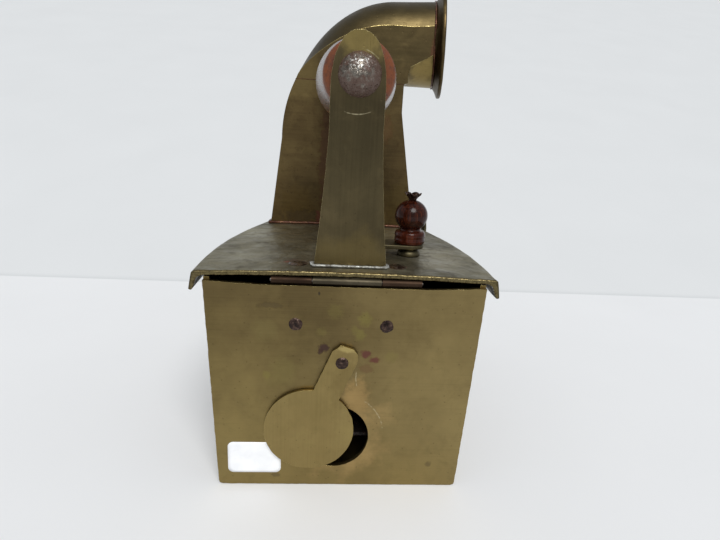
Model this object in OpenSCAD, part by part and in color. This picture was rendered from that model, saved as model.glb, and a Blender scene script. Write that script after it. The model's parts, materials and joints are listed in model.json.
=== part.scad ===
// Charcoal box iron with an elbow chimney, a rear draught cover and a turned wooden grip.
// Millimetres. +Z up, +Y towards the nose, +X to the side that the chimney mouth faces.
// The origin is the middle of the sole's lower face.

/* [Body] */
// Height of the rear plate
plate_h = 78.5; // [70:0.5:90]
// Half width of the rear plate at its top
plate_half_top = 47.1; // [42:0.1:50]
// Half width of the rear plate at its bottom
plate_half_bottom = 43.8; // [38:0.1:47]
// Length of the straight stretch of the sides, next to the rear plate
straight_len = 12; // [8:1:20]
// Radius of the arcs that bring the sides together at the nose
side_radius = 200; // [190:1:240]
// Thickness of the rear plate
plate_t = 1.6; // [1:0.1:2]
// Thickness of the side wall
wall_t = 2; // [1.2:0.1:3]
// Thickness of the sole
sole_t = 6; // [4:0.5:10]

/* [Draught hole and cover] */
// Radius of the draught hole
hole_r = 12.5; // [8:0.1:14]
// Height of the draught hole's centre
hole_z = 20.7; // [17:0.1:26]
// Sideways place of the draught hole's centre
hole_x = -2.4; // [-6:0.1:6]
// Height of the cover's pivot
pivot_z = 50.7; // [46:0.1:54]
// Sideways place of the cover's pivot
pivot_x = -0.6; // [-4:0.1:4]
// Radius of the cover's disc
cover_r = 15.9; // [13:0.1:17]
// Distance from the pivot to the middle of the disc
cover_arm = 28.6; // [26:0.1:30]
// Thickness of the cover
cover_t = 1.2; // [0.8:0.1:1.5]
// Angle that the cover hangs away from straight down
cover_swing = 22.2; // [0:0.1:60]

/* [Lid] */
// Half width of the lid at its rear edge
lid_half = 50.9; // [50:0.1:52]
// Height of the lid's upper face at its rear corners
lid_z = 81.45; // [81.3:0.05:82]
// Rise of the lid from its sides to its middle
lid_crown = 1; // [0.8:0.1:1.2]
// Thickness of the lid
lid_t = 1.7; // [1.5:0.1:1.8]
// Depth of the lips along the lid's two sides
lip_depth = 6.5; // [4:0.5:8]
// Amount that the lips lean outwards
lip_flare = 1; // [0:0.1:1.5]

/* [Handle] */
// Distance of the post's rear face from the rear plate's face
post_y = 8; // [7:0.5:10]
// Thickness of the post
post_t = 3; // [2:0.5:4]
// Width of the post at its foot
post_w_foot = 24.8; // [20:0.2:28]
// Width of the post where its round top begins
post_w_top = 17.4; // [16:0.2:20]
// Height above the lid over which the post narrows
post_flare = 45; // [20:1:50]
// Height of the grip's axis
grip_z = 144.2; // [138:0.1:148]
// Sideways place of the grip's axis
grip_x = 1.3; // [0:0.1:2]
// Radius of the grip at its ends
grip_r_end = 11.5; // [9:0.5:13]
// Radius of the grip at its middle
grip_r_mid = 14.8; // [13:0.1:16]
// Diameter of the bolt through the grip
bolt_d = 5; // [4:0.5:6]
// Diameter of the bolt's domed head
bolt_head_d = 13.6; // [12:0.1:16]

/* [Chimney] */
// Distance of the chimney's flat face from the rear plate's face
flue_y = 81; // [78:1:84]
// Height where the stack ends and the elbow begins
seam_z = 147.4; // [147:0.1:150]
// Wall thickness of the chimney
flue_t = 1.1; // [0.8:0.1:1.5]
// Radius of the chimney's round mouth, outside the sheet
mouth_r = 18.6; // [18:0.1:20]
// Radius of the flared rim
rim_r = 23.4; // [22:0.1:25]
// Angle that the mouth is turned towards the rear
mouth_turn = 8; // [0:1:10]
// Angle that the mouth leans back, so that it faces a little upwards
mouth_lift = 2; // [0:0.5:4]

/* [Latch] */
// Sideways place of the knob's axis
knob_x = 24; // [22:0.5:26]
// Distance of the knob's axis from the rear plate's face
knob_y = 28; // [26:0.5:32]
// Diameter of the knob's globe
globe_d = 12.2; // [11:0.2:14]
// Length of the lever above the lid, from the knob's axis to its tip
lever_len = 27; // [20:1:30]

/* [Hidden] */
$fn = 64;

// Brass, copper, steel and wood colours
brass = "#8f7a3c";
old_brass = "#6f5c33";
copper = "#8a4a35";
steel = "#6d6763";
wood = "#8a4a2a";

// Sides of the very large arcs, so that their chords stay true
fn_arc = 720;
// Amounts by which a cut runs past a face, and by which soldered faces stand apart
over = 1;
seat = 0.02;
// Everything below is measured from the rear plate's outer face, then moved to the origin
arc_reach = sqrt(pow(side_radius, 2) - pow(side_radius - plate_half_top, 2));
nose_y = straight_len + arc_reach;
middle_y = nose_y / 2;
// Height of the side wall's upper edge, just under the lid
wall_top = lid_z - lid_t - 0.35;
taper = (plate_half_top - plate_half_bottom) / plate_h;

// Radius of the cylinder that the lid's upper face is a part of, and the height of its crown
arch_r = (pow(lid_half, 2) + pow(lid_crown, 2)) / (2 * lid_crown);
crown_z = lid_z + lid_crown;

// Hinge: axis, barrel, pin and leaves
hinge_y = 1.2;
hinge_z = 79.2;
barrel_r = 1.25;
pin_r = 0.6;
pin_gap = 0.05;
hinge_len = 50;
knuckle = 13.3;
leaf_t = 0.9;
leaf_drop = 20;
leaf_reach = 14;
lid_rear_y = 0.8;
notch_z = 77.6;

// Rivets of the hinge and the cover
rivet_r = 1.3;
rivet_head_r = 2.3;
rivet_head_h = 0.8;
body_rivets = [-16.7, 14.1];
rivet_z = 64;
lid_rivet_x = 16.3;
lid_rivet_y = 10.5;

// Cover: gap to the plate, running gap on its rivet, width of its arm, reach past the pivot
cover_gap = 0.3;
running = 0.05;
arm_w = 9.6;
arm_end = 6.4;

// Washer under the nut of the grip's bolt
washer_t = 1;

// Grate
grate_z = 16;
grate_t = 1.2;
grate_hole_r = 3;
grate_step = 12;

// Latch heights: bush on the lid, lever, ring, globe, crown, and the hook below the lid
bush_h = 3;
lever_t = 1.5;
ring_h = 5.2;
globe_h = 11.9;
crown_h = 2.9;
spindle_r = 1.5;
lever_z = lid_top(knob_x) + bush_h + 0.3;
ring_z = lever_z + lever_t;
spindle_up = ring_h + 5;
hook_z = 71.3;
hook_t = 1.6;
hook_len = 17;
keeper_z = 73.6;
keeper_t = 1.6;
keeper_w = 12;

// Side tab: distance from the rear plate's face, thickness, gap to the wall, height of its rivet
tab_y = 82;
tab_t = 1.1;
tab_gap = 0.6;
tab_rivet_z = 61;

// Chimney: point that the elbow's sections fan out from, and the end of its short straight stub
fan_x = 27;
stub_x = 39.5;
// Depth of the stack's foot, from its flat face towards the nose
stack_depth = 39;
mouth_y = flue_y + mouth_depth(1);
mouth_z = seam_z + mouth_r + (stub_x - fan_x) * tan(mouth_lift);

// Height of the lid's upper face at a sideways distance from its middle
function lid_top(x) = crown_z - arch_r + sqrt(pow(arch_r, 2) - pow(x, 2));
// Half width of the body's outside at a height, next to the rear plate
function half_at(z) = plate_half_bottom + taper * z;
// Distance that a side has come in from its straight stretch
function side_drop(y) = side_radius - sqrt(pow(side_radius, 2) - pow(max(0, y - straight_len), 2));
function mix(a, b, t) = a + (b - a) * t;

module from_rear() {
    translate([0, -middle_y, 0]) children();
}

// Solid between the body's two sides and two heights, drawn in from the outside by an inset
module boat(z0, z1, inset, y0 = plate_t) {
    arc_x = side_radius - plate_half_top;
    low = half_at(z0) - inset;
    high = half_at(z1) - inset;
    intersection() {
        side_cone(-arc_x, z0, z1, inset);
        side_cone(arc_x, z0, z1, inset);
        translate([-100, straight_len, z0 - over]) cube([200, 200, z1 - z0 + 2 * over]);
    }
    translate([0, straight_len, 0]) rotate([90, 0, 0]) linear_extrude(straight_len - y0)
        polygon([[-low, z0], [low, z0], [high, z1], [-high, z1]]);
}

// One of the two large cones that form the body's curved sides
module side_cone(x, z0, z1, inset) {
    arc_x = side_radius - plate_half_top;
    translate([x, straight_len, z0])
        cylinder(r1 = arc_x + half_at(z0) - inset, r2 = arc_x + half_at(z1) - inset,
                 h = z1 - z0, $fn = fn_arc);
}

// Rod along Y from y0, and rod along X from x0
module rod_y(x, y0, z, r, len) {
    translate([x, y0, z]) rotate([-90, 0, 0]) cylinder(r = r, h = len);
}

module rod_x(x0, y, z, r, len) {
    translate([x0, y, z]) rotate([0, 90, 0]) cylinder(r = r, h = len);
}

// Round head of a rivet: a low dome that stands on z = 0
module rivet_head(r, h) {
    ball = (r * r + h * h) / (2 * h);
    intersection() {
        translate([0, 0, h - ball]) sphere(r = ball);
        translate([-r, -r, 0]) cube([2 * r, 2 * r, h + over]);
    }
}

/* ---- Body ---- */

module sole_plate() {
    color(brass) from_rear() boat(0, sole_t, 0);
}

module body_wall() {
    color(brass) from_rear() difference() {
        boat(sole_t, wall_top, 0);
        boat(sole_t - over, wall_top + over, wall_t, plate_t - over);
        keeper_rivet_shapes();
        tab_rivet_shape();
    }
}

// Outline of the rear plate: wider above, with a shallow dip along the hinge
module rear_plate() {
    dip = hinge_len / 2 + 4;
    corner = 1.5;
    color(brass) from_rear() difference() {
        rotate([90, 0, 0]) mirror([0, 0, 1]) linear_extrude(plate_t)
            polygon([[-plate_half_bottom + corner, 0.2], [plate_half_bottom - corner, 0.2],
                     [plate_half_bottom, 0.2 + corner], [plate_half_top, plate_h],
                     [dip, notch_z], [-dip, notch_z],
                     [-plate_half_top, plate_h], [-plate_half_bottom, 0.2 + corner]]);
        rod_y(hole_x, -over, hole_z, hole_r, plate_t + 2 * over);
        rod_y(pivot_x, -over, pivot_z, rivet_r, plate_t + 2 * over);
        for (x = body_rivets) rod_y(x, -over, rivet_z, rivet_r, plate_t + 2 * over);
    }
}

module fire_grate() {
    color(steel) from_rear() difference() {
        intersection() {
            boat(grate_z, grate_z + grate_t, wall_t + 0.6);
            translate([-100, plate_t + 6, 0]) cube([200, nose_y - 40, plate_h]);
        }
        for (row = [0:6])
            for (col = [-2:2])
                if (abs(col) <= 3 - row * 0.35)
                    translate([col * grate_step, 18 + row * grate_step, grate_z - over])
                        cylinder(r = grate_hole_r, h = grate_t + 2 * over);
    }
}

// Two bars on edge that hold the grate above the sole
module grate_bars() {
    bar_t = 2;
    color(steel) from_rear()
        for (bar = [[23, 30], [83, 18]])
            translate([-bar[1], bar[0], sole_t]) cube([2 * bar[1], bar_t, grate_z - sole_t]);
}

/* ---- Hinge ---- */

// Leaf behind the rear plate, with the two outer knuckles
module hinge_body_leaf() {
    bore = pin_r + pin_gap;
    half = hinge_len / 2;
    color(old_brass) from_rear() difference() {
        union() {
            for (x = [-half, half - knuckle])
                rod_x(x, hinge_y, hinge_z, barrel_r, knuckle);
            translate([-half, plate_t, hinge_z - leaf_drop])
                cube([hinge_len, leaf_t, leaf_drop - barrel_r - 0.35]);
            for (x = [-half, half - knuckle])
                translate([x, plate_t, hinge_z - barrel_r - 0.5])
                    cube([knuckle, leaf_t, barrel_r + 0.5]);
        }
        rod_x(-half - over, hinge_y, hinge_z, bore, hinge_len + 2 * over);
        for (x = body_rivets) rod_y(x, 0, rivet_z, rivet_r, 5);
    }
}

module hinge_pin() {
    color(steel) from_rear() rod_x(-hinge_len / 2 - 0.4, hinge_y, hinge_z, pin_r, hinge_len + 0.8);
}

// Rivet along Y: a head outside, and a hammered head inside
module rivet_y(x, z, grip) {
    rod_y(x, 0, z, rivet_r, grip);
    translate([x, 0, z]) rotate([90, 0, 0]) rivet_head(rivet_head_r, rivet_head_h);
    translate([x, grip, z]) rotate([-90, 0, 0]) rivet_head(rivet_head_r, rivet_head_h);
}

module hinge_body_rivets() {
    color(copper) from_rear() for (x = body_rivets) rivet_y(x, rivet_z, plate_t + leaf_t);
}

// Leaf under the lid, with the middle knuckle
module hinge_lid_leaf() {
    half = hinge_len / 2;
    gap = 0.3;
    mid = half - knuckle - gap;
    top = lid_top(half) - lid_t - seat;
    color(old_brass) from_rear() difference() {
        union() {
            rod_x(-mid, hinge_y, hinge_z, barrel_r, 2 * mid);
            translate([-mid, hinge_y, top - leaf_t]) cube([2 * mid, 4, leaf_t]);
            translate([-half, hinge_y + barrel_r + 0.4, top - leaf_t])
                cube([hinge_len, leaf_reach - barrel_r, leaf_t]);
        }
        rod_x(-half - over, hinge_y, hinge_z, pin_r + pin_gap, hinge_len + 2 * over);
        for (side = [-1, 1])
            translate([side * lid_rivet_x, lid_rivet_y, hinge_z - 5]) cylinder(r = rivet_r, h = 10);
    }
}

module hinge_lid_rivets() {
    low = lid_top(hinge_len / 2) - lid_t - seat - leaf_t;
    high = lid_top(lid_rivet_x - rivet_head_r);
    color(copper) from_rear()
        for (side = [-1, 1])
            translate([side * lid_rivet_x, lid_rivet_y, 0]) {
                translate([0, 0, low - 0.2]) cylinder(r = rivet_r, h = high - low + 0.4);
                translate([0, 0, high]) rivet_head(rivet_head_r, rivet_head_h);
                translate([0, 0, low]) mirror([0, 0, 1]) rivet_head(rivet_head_r, rivet_head_h);
            }
}

/* ---- Draught cover ---- */

// Rivet that the cover turns on: it is fixed in the plate, with its head outside the cover
module damper_rivet() {
    out = cover_gap + cover_t + running;
    color(copper) from_rear() {
        rod_y(pivot_x, -out, pivot_z, rivet_r, out + plate_t);
        translate([pivot_x, -out, pivot_z]) rotate([90, 0, 0]) rivet_head(rivet_head_r, rivet_head_h);
        translate([pivot_x, plate_t, pivot_z]) rotate([-90, 0, 0])
            rivet_head(rivet_head_r, rivet_head_h);
    }
}

// Disc with a straight arm whose end is cut to a blunt point, drawn hanging straight down and
// then swung aside
module damper_cover() {
    half = arm_w / 2;
    color(brass) from_rear() translate([pivot_x, -cover_gap, pivot_z]) rotate([0, cover_swing, 0])
        rotate([90, 0, 0]) difference() {
            union() {
                translate([0, -cover_arm, 0]) cylinder(r = cover_r, h = cover_t);
                linear_extrude(cover_t)
                    polygon([[-half, -cover_arm], [half, -cover_arm], [half, arm_end - 3.4],
                             [half - 1.9, arm_end - 0.3], [0, arm_end],
                             [1.9 - half, arm_end - 0.3], [-half, arm_end - 3.4]]);
            }
            translate([0, 0, -over]) cylinder(r = rivet_r + running, h = cover_t + 2 * over);
        }
}

// Pointed tab on the outside of the wall, which stands up past the lid's edge and guides it.
// It is drawn with x outwards from the wall and z up.
module side_tab() {
    out = 6;
    tab_w = 3.4;
    shoulder = 82;
    tip = 86.4;
    color(old_brass) from_rear() difference() {
        at_tab() rotate([90, 0, 0]) translate([0, 0, -tab_w / 2]) linear_extrude(tab_w)
            polygon([[tab_gap, 56], [tab_gap + tab_t, 56], [tab_gap + tab_t, 68.5],
                     [out + tab_t, 73.5], [out + tab_t, shoulder], [out + tab_t - 0.5, tip],
                     [out, shoulder], [out, 74], [tab_gap, 69.4]]);
        at_tab() for (side = [-1, 1])
            translate([-5, side * tab_w / 2, shoulder + 0.5]) rotate([side * -17, 0, 0])
                translate([0, side > 0 ? 0 : -5, 0]) cube([20, 5, 8]);
        tab_rivet_shape();
    }
}

// The tab's place: on the wall's outside, turned to face straight out of it
module at_tab() {
    slope = asin((tab_y - straight_len) / side_radius);
    translate([half_at(tab_rivet_z) - side_drop(tab_y), tab_y, 0]) rotate([0, 0, slope])
        children();
}

module tab_rivet_shape() {
    head_h = 0.7;
    at_tab() translate([0, 0, tab_rivet_z]) {
        translate([tab_gap + tab_t, 0, 0]) rotate([0, 90, 0]) rivet_head(1.6, head_h);
        translate([-wall_t - 0.4, 0, 0]) rotate([0, 90, 0])
            cylinder(r = 1, h = wall_t + 0.6 + tab_gap + tab_t);
        translate([-wall_t - 0.3, 0, 0]) rotate([0, -90, 0]) rivet_head(1.8, head_h);
    }
}

module side_tab_rivet() {
    color(copper) from_rear() tab_rivet_shape();
}

// Plain stock label with nothing on it
module blank_label() {
    paper = 0.1;
    color("white") from_rear() translate([-30.8, 0, 11.6]) rotate([90, 0, 0]) linear_extrude(paper)
        rounded_bar(19, 12.7, 2);
}

// Rectangle with round corners, centred
module rounded_bar(w, h, r) {
    square([w - 2 * r, h], center = true);
    square([w, h - 2 * r], center = true);
    for (x = [-1, 1])
        for (y = [-1, 1])
            translate([x * (w / 2 - r), y * (h / 2 - r)]) circle(r = r);
}

/* ---- Lid ---- */

// Everything under the lid's arched upper face, less a depth
module under_arch(depth) {
    translate([0, -over, crown_z - arch_r]) rotate([-90, 0, 0])
        cylinder(r = arch_r - depth, h = 200, $fn = 2 * fn_arc);
}

// Upright solid between the lid's two sides, less an inset, and the cylinder of each side
module lid_outline(z0, z1, inset) {
    arc_x = side_radius - lid_half;
    intersection() {
        lid_side(-1, arc_x, z0, z1, inset);
        lid_side(1, arc_x, z0, z1, inset);
        translate([-100, straight_len, z0]) cube([200, 200, z1 - z0]);
    }
    translate([inset - lid_half, lid_rear_y, z0])
        cube([2 * (lid_half - inset), straight_len - lid_rear_y, z1 - z0]);
}

module lid_side(side, arc_x, z0, z1, inset) {
    translate([side * arc_x, straight_len, z0])
        cylinder(r = side_radius - inset, h = z1 - z0, $fn = fn_arc);
}

// Section of a lip: a tapered strip that hangs from the edge and leans outwards
function lip_section(r) =
    let (low = lid_z - lip_depth, tip = 1.4)
    [[r, crown_z + over], [r, lid_z - 0.3], [r + lip_flare, low], [r + lip_flare - tip, low],
     [r - 1.5, lid_z - 3.2], [r - 1.8, lid_z - 2.3], [r - 3, lid_z - lid_t],
     [r - 3, crown_z + over]];

module side_lip() {
    low = lid_z - lip_depth - over;
    intersection() {
        translate([lid_half - side_radius, straight_len, 0]) rotate_extrude($fn = fn_arc)
            polygon(lip_section(side_radius));
        translate([0, straight_len, low]) cube([100, 200, 20]);
    }
    translate([0, straight_len, 0]) rotate([90, 0, 0]) linear_extrude(straight_len - lid_rear_y)
        polygon(lip_section(lid_half));
}

module lid_plate() {
    color(old_brass) from_rear() difference() {
        intersection() {
            union() {
                difference() {
                    lid_outline(lid_z - 4, crown_z + over, 2);
                    under_arch(lid_t);
                }
                side_lip();
                mirror([1, 0, 0]) side_lip();
            }
            under_arch(0);
        }
        flue_hole();
        translate([knob_x, knob_y, 0]) cylinder(r = 2.6, h = 100);
        for (side = [-1, 1])
            translate([side * lid_rivet_x, lid_rivet_y, 0]) cylinder(r = rivet_r, h = 100);
    }
}

// Hole in the lid under the stack: half an ellipse, a little smaller than the stack
module flue_hole() {
    inset = 4;
    left = face_left(lid_z) + inset;
    right = face_right(lid_z) - inset;
    translate([(left + right) / 2, flue_y + inset, lid_z - 5]) linear_extrude(10)
        polygon([for (a = [0:10:180])
            [(right - left) / 2 * cos(a), (stack_depth - 2 * inset) * sin(a)]]);
}

/* ---- Handle ---- */

// Flat strap: wide at its foot, narrowing in a curve to parallel sides and a long round top
module handle_post() {
    foot_z = lid_top(0) + seat;
    round_z = grip_z - 6.2;
    round_h = 19;
    half = post_w_top / 2;
    wider = post_w_foot / 2 - half;
    curve = [for (i = [0:8]) let (s = i / 8)
        [half + wider * pow(1 - s, 1.35), foot_z + post_flare * s]];
    color(brass) from_rear() difference() {
        translate([grip_x - 0.3, post_y + post_t, 0]) rotate([90, 0, 0]) linear_extrude(post_t)
            polygon(concat(curve,
                           [for (a = [0:7.5:180]) [half * cos(a), round_z + round_h * sin(a)]],
                           [for (i = [8:-1:0]) [-curve[i][0], curve[i][1]]]));
        rod_y(grip_x, 0, grip_z, bolt_d / 2, 20);
    }
}

// Band of solder around the foot of the post, thinner at its ends, beside the rivets
module post_solder() {
    w = 1.2;
    end_w = 0.5;
    foot_z = lid_top(0) + seat;
    x0 = grip_x - 0.3 - post_w_foot / 2;
    color("silver") from_rear() {
        for (face = [[post_y, 1], [post_y + post_t, 0]])
            translate([x0, face[0], foot_z]) mirror([0, face[1], 0]) rotate([90, 0, 90])
                linear_extrude(post_w_foot) polygon([[0, 0], [w, 0], [0, w]]);
        for (side = [0, 1])
            translate([x0 + (1 - side) * post_w_foot, post_y + post_t, foot_z])
                mirror([side, 0, 0]) rotate([90, 0, 0])
                    linear_extrude(post_t) polygon([[0, 0], [end_w, 0], [0, w]]);
    }
}

// Turned grip: a barrel that swells between two narrower ends, bored for the bolt
module handle_grip() {
    y0 = post_y + post_t;
    len = flue_y - y0;
    swell = grip_r_mid - grip_r_end;
    edge = 1.2;
    color(wood) from_rear() translate([grip_x, y0, grip_z]) rotate([-90, 0, 0])
        rotate_extrude() polygon(concat(
            [[bolt_d / 2 + 0.25, 0], [grip_r_end - edge, 0]],
            [for (i = [0:12]) let (s = i / 12)
                [grip_r_end + swell * sin(180 * s), edge + s * (len - 2 * edge)]],
            [[grip_r_end - edge, len], [bolt_d / 2 + 0.25, len]]));
}

// Domed bolt through the post, the grip and the chimney's flat face
module handle_bolt() {
    head_h = 3.6;
    color(steel) from_rear() {
        rod_y(grip_x, post_y, grip_z, bolt_d / 2, flue_y + 10 - post_y);
        translate([grip_x, post_y, grip_z]) rotate([90, 0, 0]) rivet_head(bolt_head_d / 2, head_h);
    }
}

module handle_washer() {
    color(steel) from_rear() difference() {
        rod_y(grip_x, flue_y + flue_t, grip_z, 6, washer_t);
        rod_y(grip_x, flue_y, grip_z, bolt_d / 2, 5);
    }
}

module handle_nut() {
    color(steel) from_rear() difference() {
        translate([grip_x, flue_y + flue_t + washer_t, grip_z]) rotate([-90, 0, 0])
            cylinder(r = 4.6, h = 4, $fn = 6);
        rod_y(grip_x, flue_y, grip_z, bolt_d / 2, 12);
    }
}

/* ---- Chimney ---- */

// Distance of the section's widest line behind the flat face, from the lid (0) to the mouth (1)
function mouth_depth(t) = mix(1, mouth_r - 0.85, t);
// Height on the stack, from the lid (0) to the seam (1)
function stack_z(t) = mix(lid_z, seam_z, t);

// Left edge of the flat face: a sloping line up to a height, then a quarter of an ellipse
edge_z = 122;
edge_a = 55.6;
edge_b = 56.6;
edge_x = 26;
edge_slope = 0.125;
function face_left(z) =
    z < edge_z ? edge_x - edge_a - edge_slope * (edge_z - z)
               : edge_x - edge_a * sqrt(1 - pow((z - edge_z) / edge_b, 2));
// Right edge of the flat face: a sloping line that ends upright
right_foot = 33.6;
right_top = 24.6;
right_slope = 0.168;
function face_right(z) = max(right_top, right_foot - right_slope * (z - lid_z));

// Outside of the bend: centre and half sizes of its ellipse, and its distance from the fan point
bend_x = 21.8;
bend_z = 121.6;
bend_a = 50.6;
bend_b = seam_z + 2 * mouth_r - bend_z - 0.7;
function bend_reach(a) =
    let (p = [fan_x - bend_x, seam_z - bend_z], d = [-cos(a), sin(a)],
         qa = pow(d[0] / bend_a, 2) + pow(d[1] / bend_b, 2),
         qb = 2 * (p[0] * d[0] / pow(bend_a, 2) + p[1] * d[1] / pow(bend_b, 2)),
         qc = pow(p[0] / bend_a, 2) + pow(p[1] / bend_b, 2) - 1)
    (-qb + sqrt(qb * qb - 4 * qa * qc)) / (2 * qa);

// A section of the chimney is drawn with u from the fan point to the outside of the bend,
// and v from the flat face towards the nose.
// Section sizes: [inner bulge, outer bulge, inner edge, outer edge of the flat, widest, depth]
function stack_sizes(t) =
    let (z = stack_z(t), right = fan_x - face_right(z), left = fan_x - face_left(z),
         bulge = z > bend_z ? max(left, fan_x - bend_x
                 + bend_a * sqrt(1 - pow((z - bend_z) / bend_b, 2))) : left)
    [right - 0.1, bulge + 0.1, right, left, mix(1, 15, t), mix(stack_depth, 38, t)];
function elbow_sizes(a) =
    let (t = a / 90, reach = bend_reach(a), start = stack_sizes(1), fade = pow(1 - t, 4))
    [mix(0.6, start[0], fade), reach + 0.1 * fade,
     mix(0.8 + 6.7 * pow(t, 6), start[2], fade),
     mix(23.9 + 24.9 * pow(1 - t, 1.8), start[3], pow(1 - t, 12)),
     mix(15, mouth_depth(1), t), mix(38, mouth_depth(1) + mouth_r, t)];

// Points round one section: the near side, the far side and back again, then the flat face
near_steps = 7;
far_steps = 10;
flat_steps = 6;
function section_line(s, t_in) =
    let (u0 = s[0] + t_in, u1 = s[1] - t_in, f0 = s[2] + t_in, f1 = s[3] - t_in,
         mid = (u0 + u1) / 2, c = s[4], far = s[5] - t_in - c, near = c - t_in,
         k1 = min(0.9995, (f1 - mid) / (u1 - mid)), k0 = min(0.9995, (mid - f0) / (mid - u0)),
         b1 = near / sqrt(1 - k1 * k1), b0 = near / sqrt(1 - k0 * k0),
         a1 = asin(near / b1), a0 = asin(near / b0))
    concat(
        [for (i = [0:near_steps]) let (a = a1 * (1 - i / near_steps))
            [mid + (u1 - mid) * cos(a), c - b1 * sin(a)]],
        [for (i = [1:far_steps]) let (a = 90 * i / far_steps)
            [mid + (u1 - mid) * cos(a), c + far * sin(a)]],
        [for (i = [1:far_steps]) let (a = 90 + 90 * i / far_steps)
            [mid + (mid - u0) * cos(a), c + far * sin(a)]],
        [for (i = [1:near_steps]) let (a = a0 * i / near_steps)
            [mid - (mid - u0) * cos(a), c - b0 * sin(a)]],
        [for (i = [1:flat_steps - 1]) [mix(f0, f1, i / flat_steps), t_in]]);
function section_points(t, t_in) = section_line(stack_sizes(t), t_in);

// Rings of points in space: the stack's lie level, the elbow's fan round the fan point
function stack_ring(t, t_in) =
    [for (p = section_points(t, t_in)) let (x = fan_x - p[0], z = stack_z(t))
        [x, flue_y + p[1], t == 0 ? lid_top(x) + seat : z]];
function elbow_ring(a, t_in) =
    [for (p = section_line(elbow_sizes(a), t_in))
        [fan_x - p[0] * cos(a), flue_y + p[1], seam_z + p[0] * sin(a)]];
// The stub turns the section to face the rear and upwards a little, and ends in a flat plane
function stub_ring(s, t_in) =
    let (e = elbow_sizes(90), c = mouth_depth(1), facet = 5.8, rise = mouth_z - seam_z - mouth_r,
         low = mix(e[2], mouth_r - facet, s), high = mix(e[3], mouth_r + facet, s))
    [for (p = section_line([mix(e[0], 0, s), mix(e[1], 2 * mouth_r, s), low, high, e[4], e[5]],
                           t_in))
        [fan_x + s * (stub_x - fan_x + (p[1] - c) * tan(mouth_turn)
                      - (p[0] - mouth_r) * tan(mouth_lift)), flue_y + p[1],
         seam_z + p[0] + s * rise]];

// Closed shell between two stacks of rings that have the same number of points
module ring_shell(outer, inner) {
    rings = len(outer);
    count = len(outer[0]);
    points = concat([for (r = outer) each r], [for (r = inner) each r]);
    base = rings * count;
    walls = [for (r = [0:rings - 2]) for (i = [0:count - 1]) let (j = (i + 1) % count)
        each [[r * count + i, r * count + j, (r + 1) * count + j],
              [r * count + i, (r + 1) * count + j, (r + 1) * count + i],
              [base + r * count + j, base + r * count + i, base + (r + 1) * count + i],
              [base + r * count + j, base + (r + 1) * count + i, base + (r + 1) * count + j]]];
    top = (rings - 1) * count;
    ends = [for (i = [0:count - 1]) let (j = (i + 1) % count)
        each [[i, base + i, base + j], [i, base + j, j],
              [top + i, top + j, base + top + j], [top + i, base + top + j, base + top + i]]];
    polyhedron(points = points, faces = concat(walls, ends), convexity = 6);
}

module chimney_stack() {
    steps = [0, 0.2, 0.4, 0.55, 0.66, 0.75, 0.83, 0.9, 0.95, 1];
    color(brass) from_rear() difference() {
        ring_shell([for (t = steps) stack_ring(t, 0)], [for (t = steps) stack_ring(t, flue_t)]);
        rod_y(grip_x, flue_y - over, grip_z, bolt_d / 2, 4);
    }
}

module chimney_elbow() {
    bends = [for (a = [0:7.5:90]) a];
    stubs = [0.35, 0.7, 1];
    color(brass) from_rear() translate([0, 0, seat])
        ring_shell(concat([for (a = bends) elbow_ring(a, 0)], [for (s = stubs) stub_ring(s, 0)]),
                   concat([for (a = bends) elbow_ring(a, flue_t)],
                          [for (s = stubs) stub_ring(s, flue_t)]));
}

// Flared collar round the mouth, turned about the mouth's own axis
module chimney_rim() {
    cone = 2.8;
    band = 1.6;
    inner = mouth_r - flue_t;
    color(old_brass) from_rear() translate([stub_x, mouth_y, mouth_z + seat])
        rotate([0, 0, -mouth_turn]) rotate([0, 90 - mouth_lift, 0]) rotate_extrude($fn = 96)
            polygon([[inner, seat], [mouth_r, seat], [mouth_r + 0.6, 0.6], [rim_r, cone],
                     [rim_r, cone + band - 0.4], [rim_r - 0.4, cone + band],
                     [rim_r - 1.6, cone + band], [inner + 0.6, 1.4]]);
}

// Fillet of solder where the stack stands on the lid
module chimney_solder() {
    color(copper) from_rear() {
        foot = [for (p = stack_ring(0, -1.1)) [p[0], p[1], lid_top(p[0]) + seat]];
        top = [for (p = stack_ring(0, -0.1)) [p[0], p[1], lid_top(p[0]) + 1.9]];
        in_low = [for (p = stack_ring(0, -0.05)) [p[0], p[1], lid_top(p[0]) + seat]];
        in_top = [for (p = stack_ring(0, -0.05)) [p[0], p[1], lid_top(p[0]) + 1.9]];
        ring_shell([foot, top], [in_low, in_top]);
    }
}

/* ---- Latch ---- */

// Bush that is fixed in the lid and carries the spindle
module latch_bush() {
    top = lid_top(knob_x) + bush_h;
    low = lid_top(knob_x + 5) - lid_t - 1.2;
    color(old_brass) from_rear() translate([knob_x, knob_y, 0]) difference() {
        union() {
            translate([0, 0, low]) cylinder(r = 2.6, h = top - low);
            translate([0, 0, lid_top(knob_x - 3.2) + seat])
                cylinder(r = 3.2, h = top - lid_top(knob_x - 3.2) - seat);
            translate([0, 0, low]) cylinder(r = 4, h = 1.2 - 0.1);
        }
        translate([0, 0, low - over]) cylinder(r = spindle_r + running, h = 20);
    }
}

// Lever above the lid: it points away from the side that it locks to
module latch_lever() {
    color(old_brass) from_rear() translate([knob_x, knob_y, lever_z]) difference() {
        linear_extrude(lever_t) {
            circle(r = 5.4);
            polygon([[0, -5.4], [0, 5.4], [-lever_len + 4, 4], [-lever_len + 4, -4]]);
            translate([-lever_len + 4, 0]) circle(r = 4);
        }
        translate([0, 0, -over]) cylinder(r = spindle_r, h = lever_t + 2 * over);
    }
}

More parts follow.
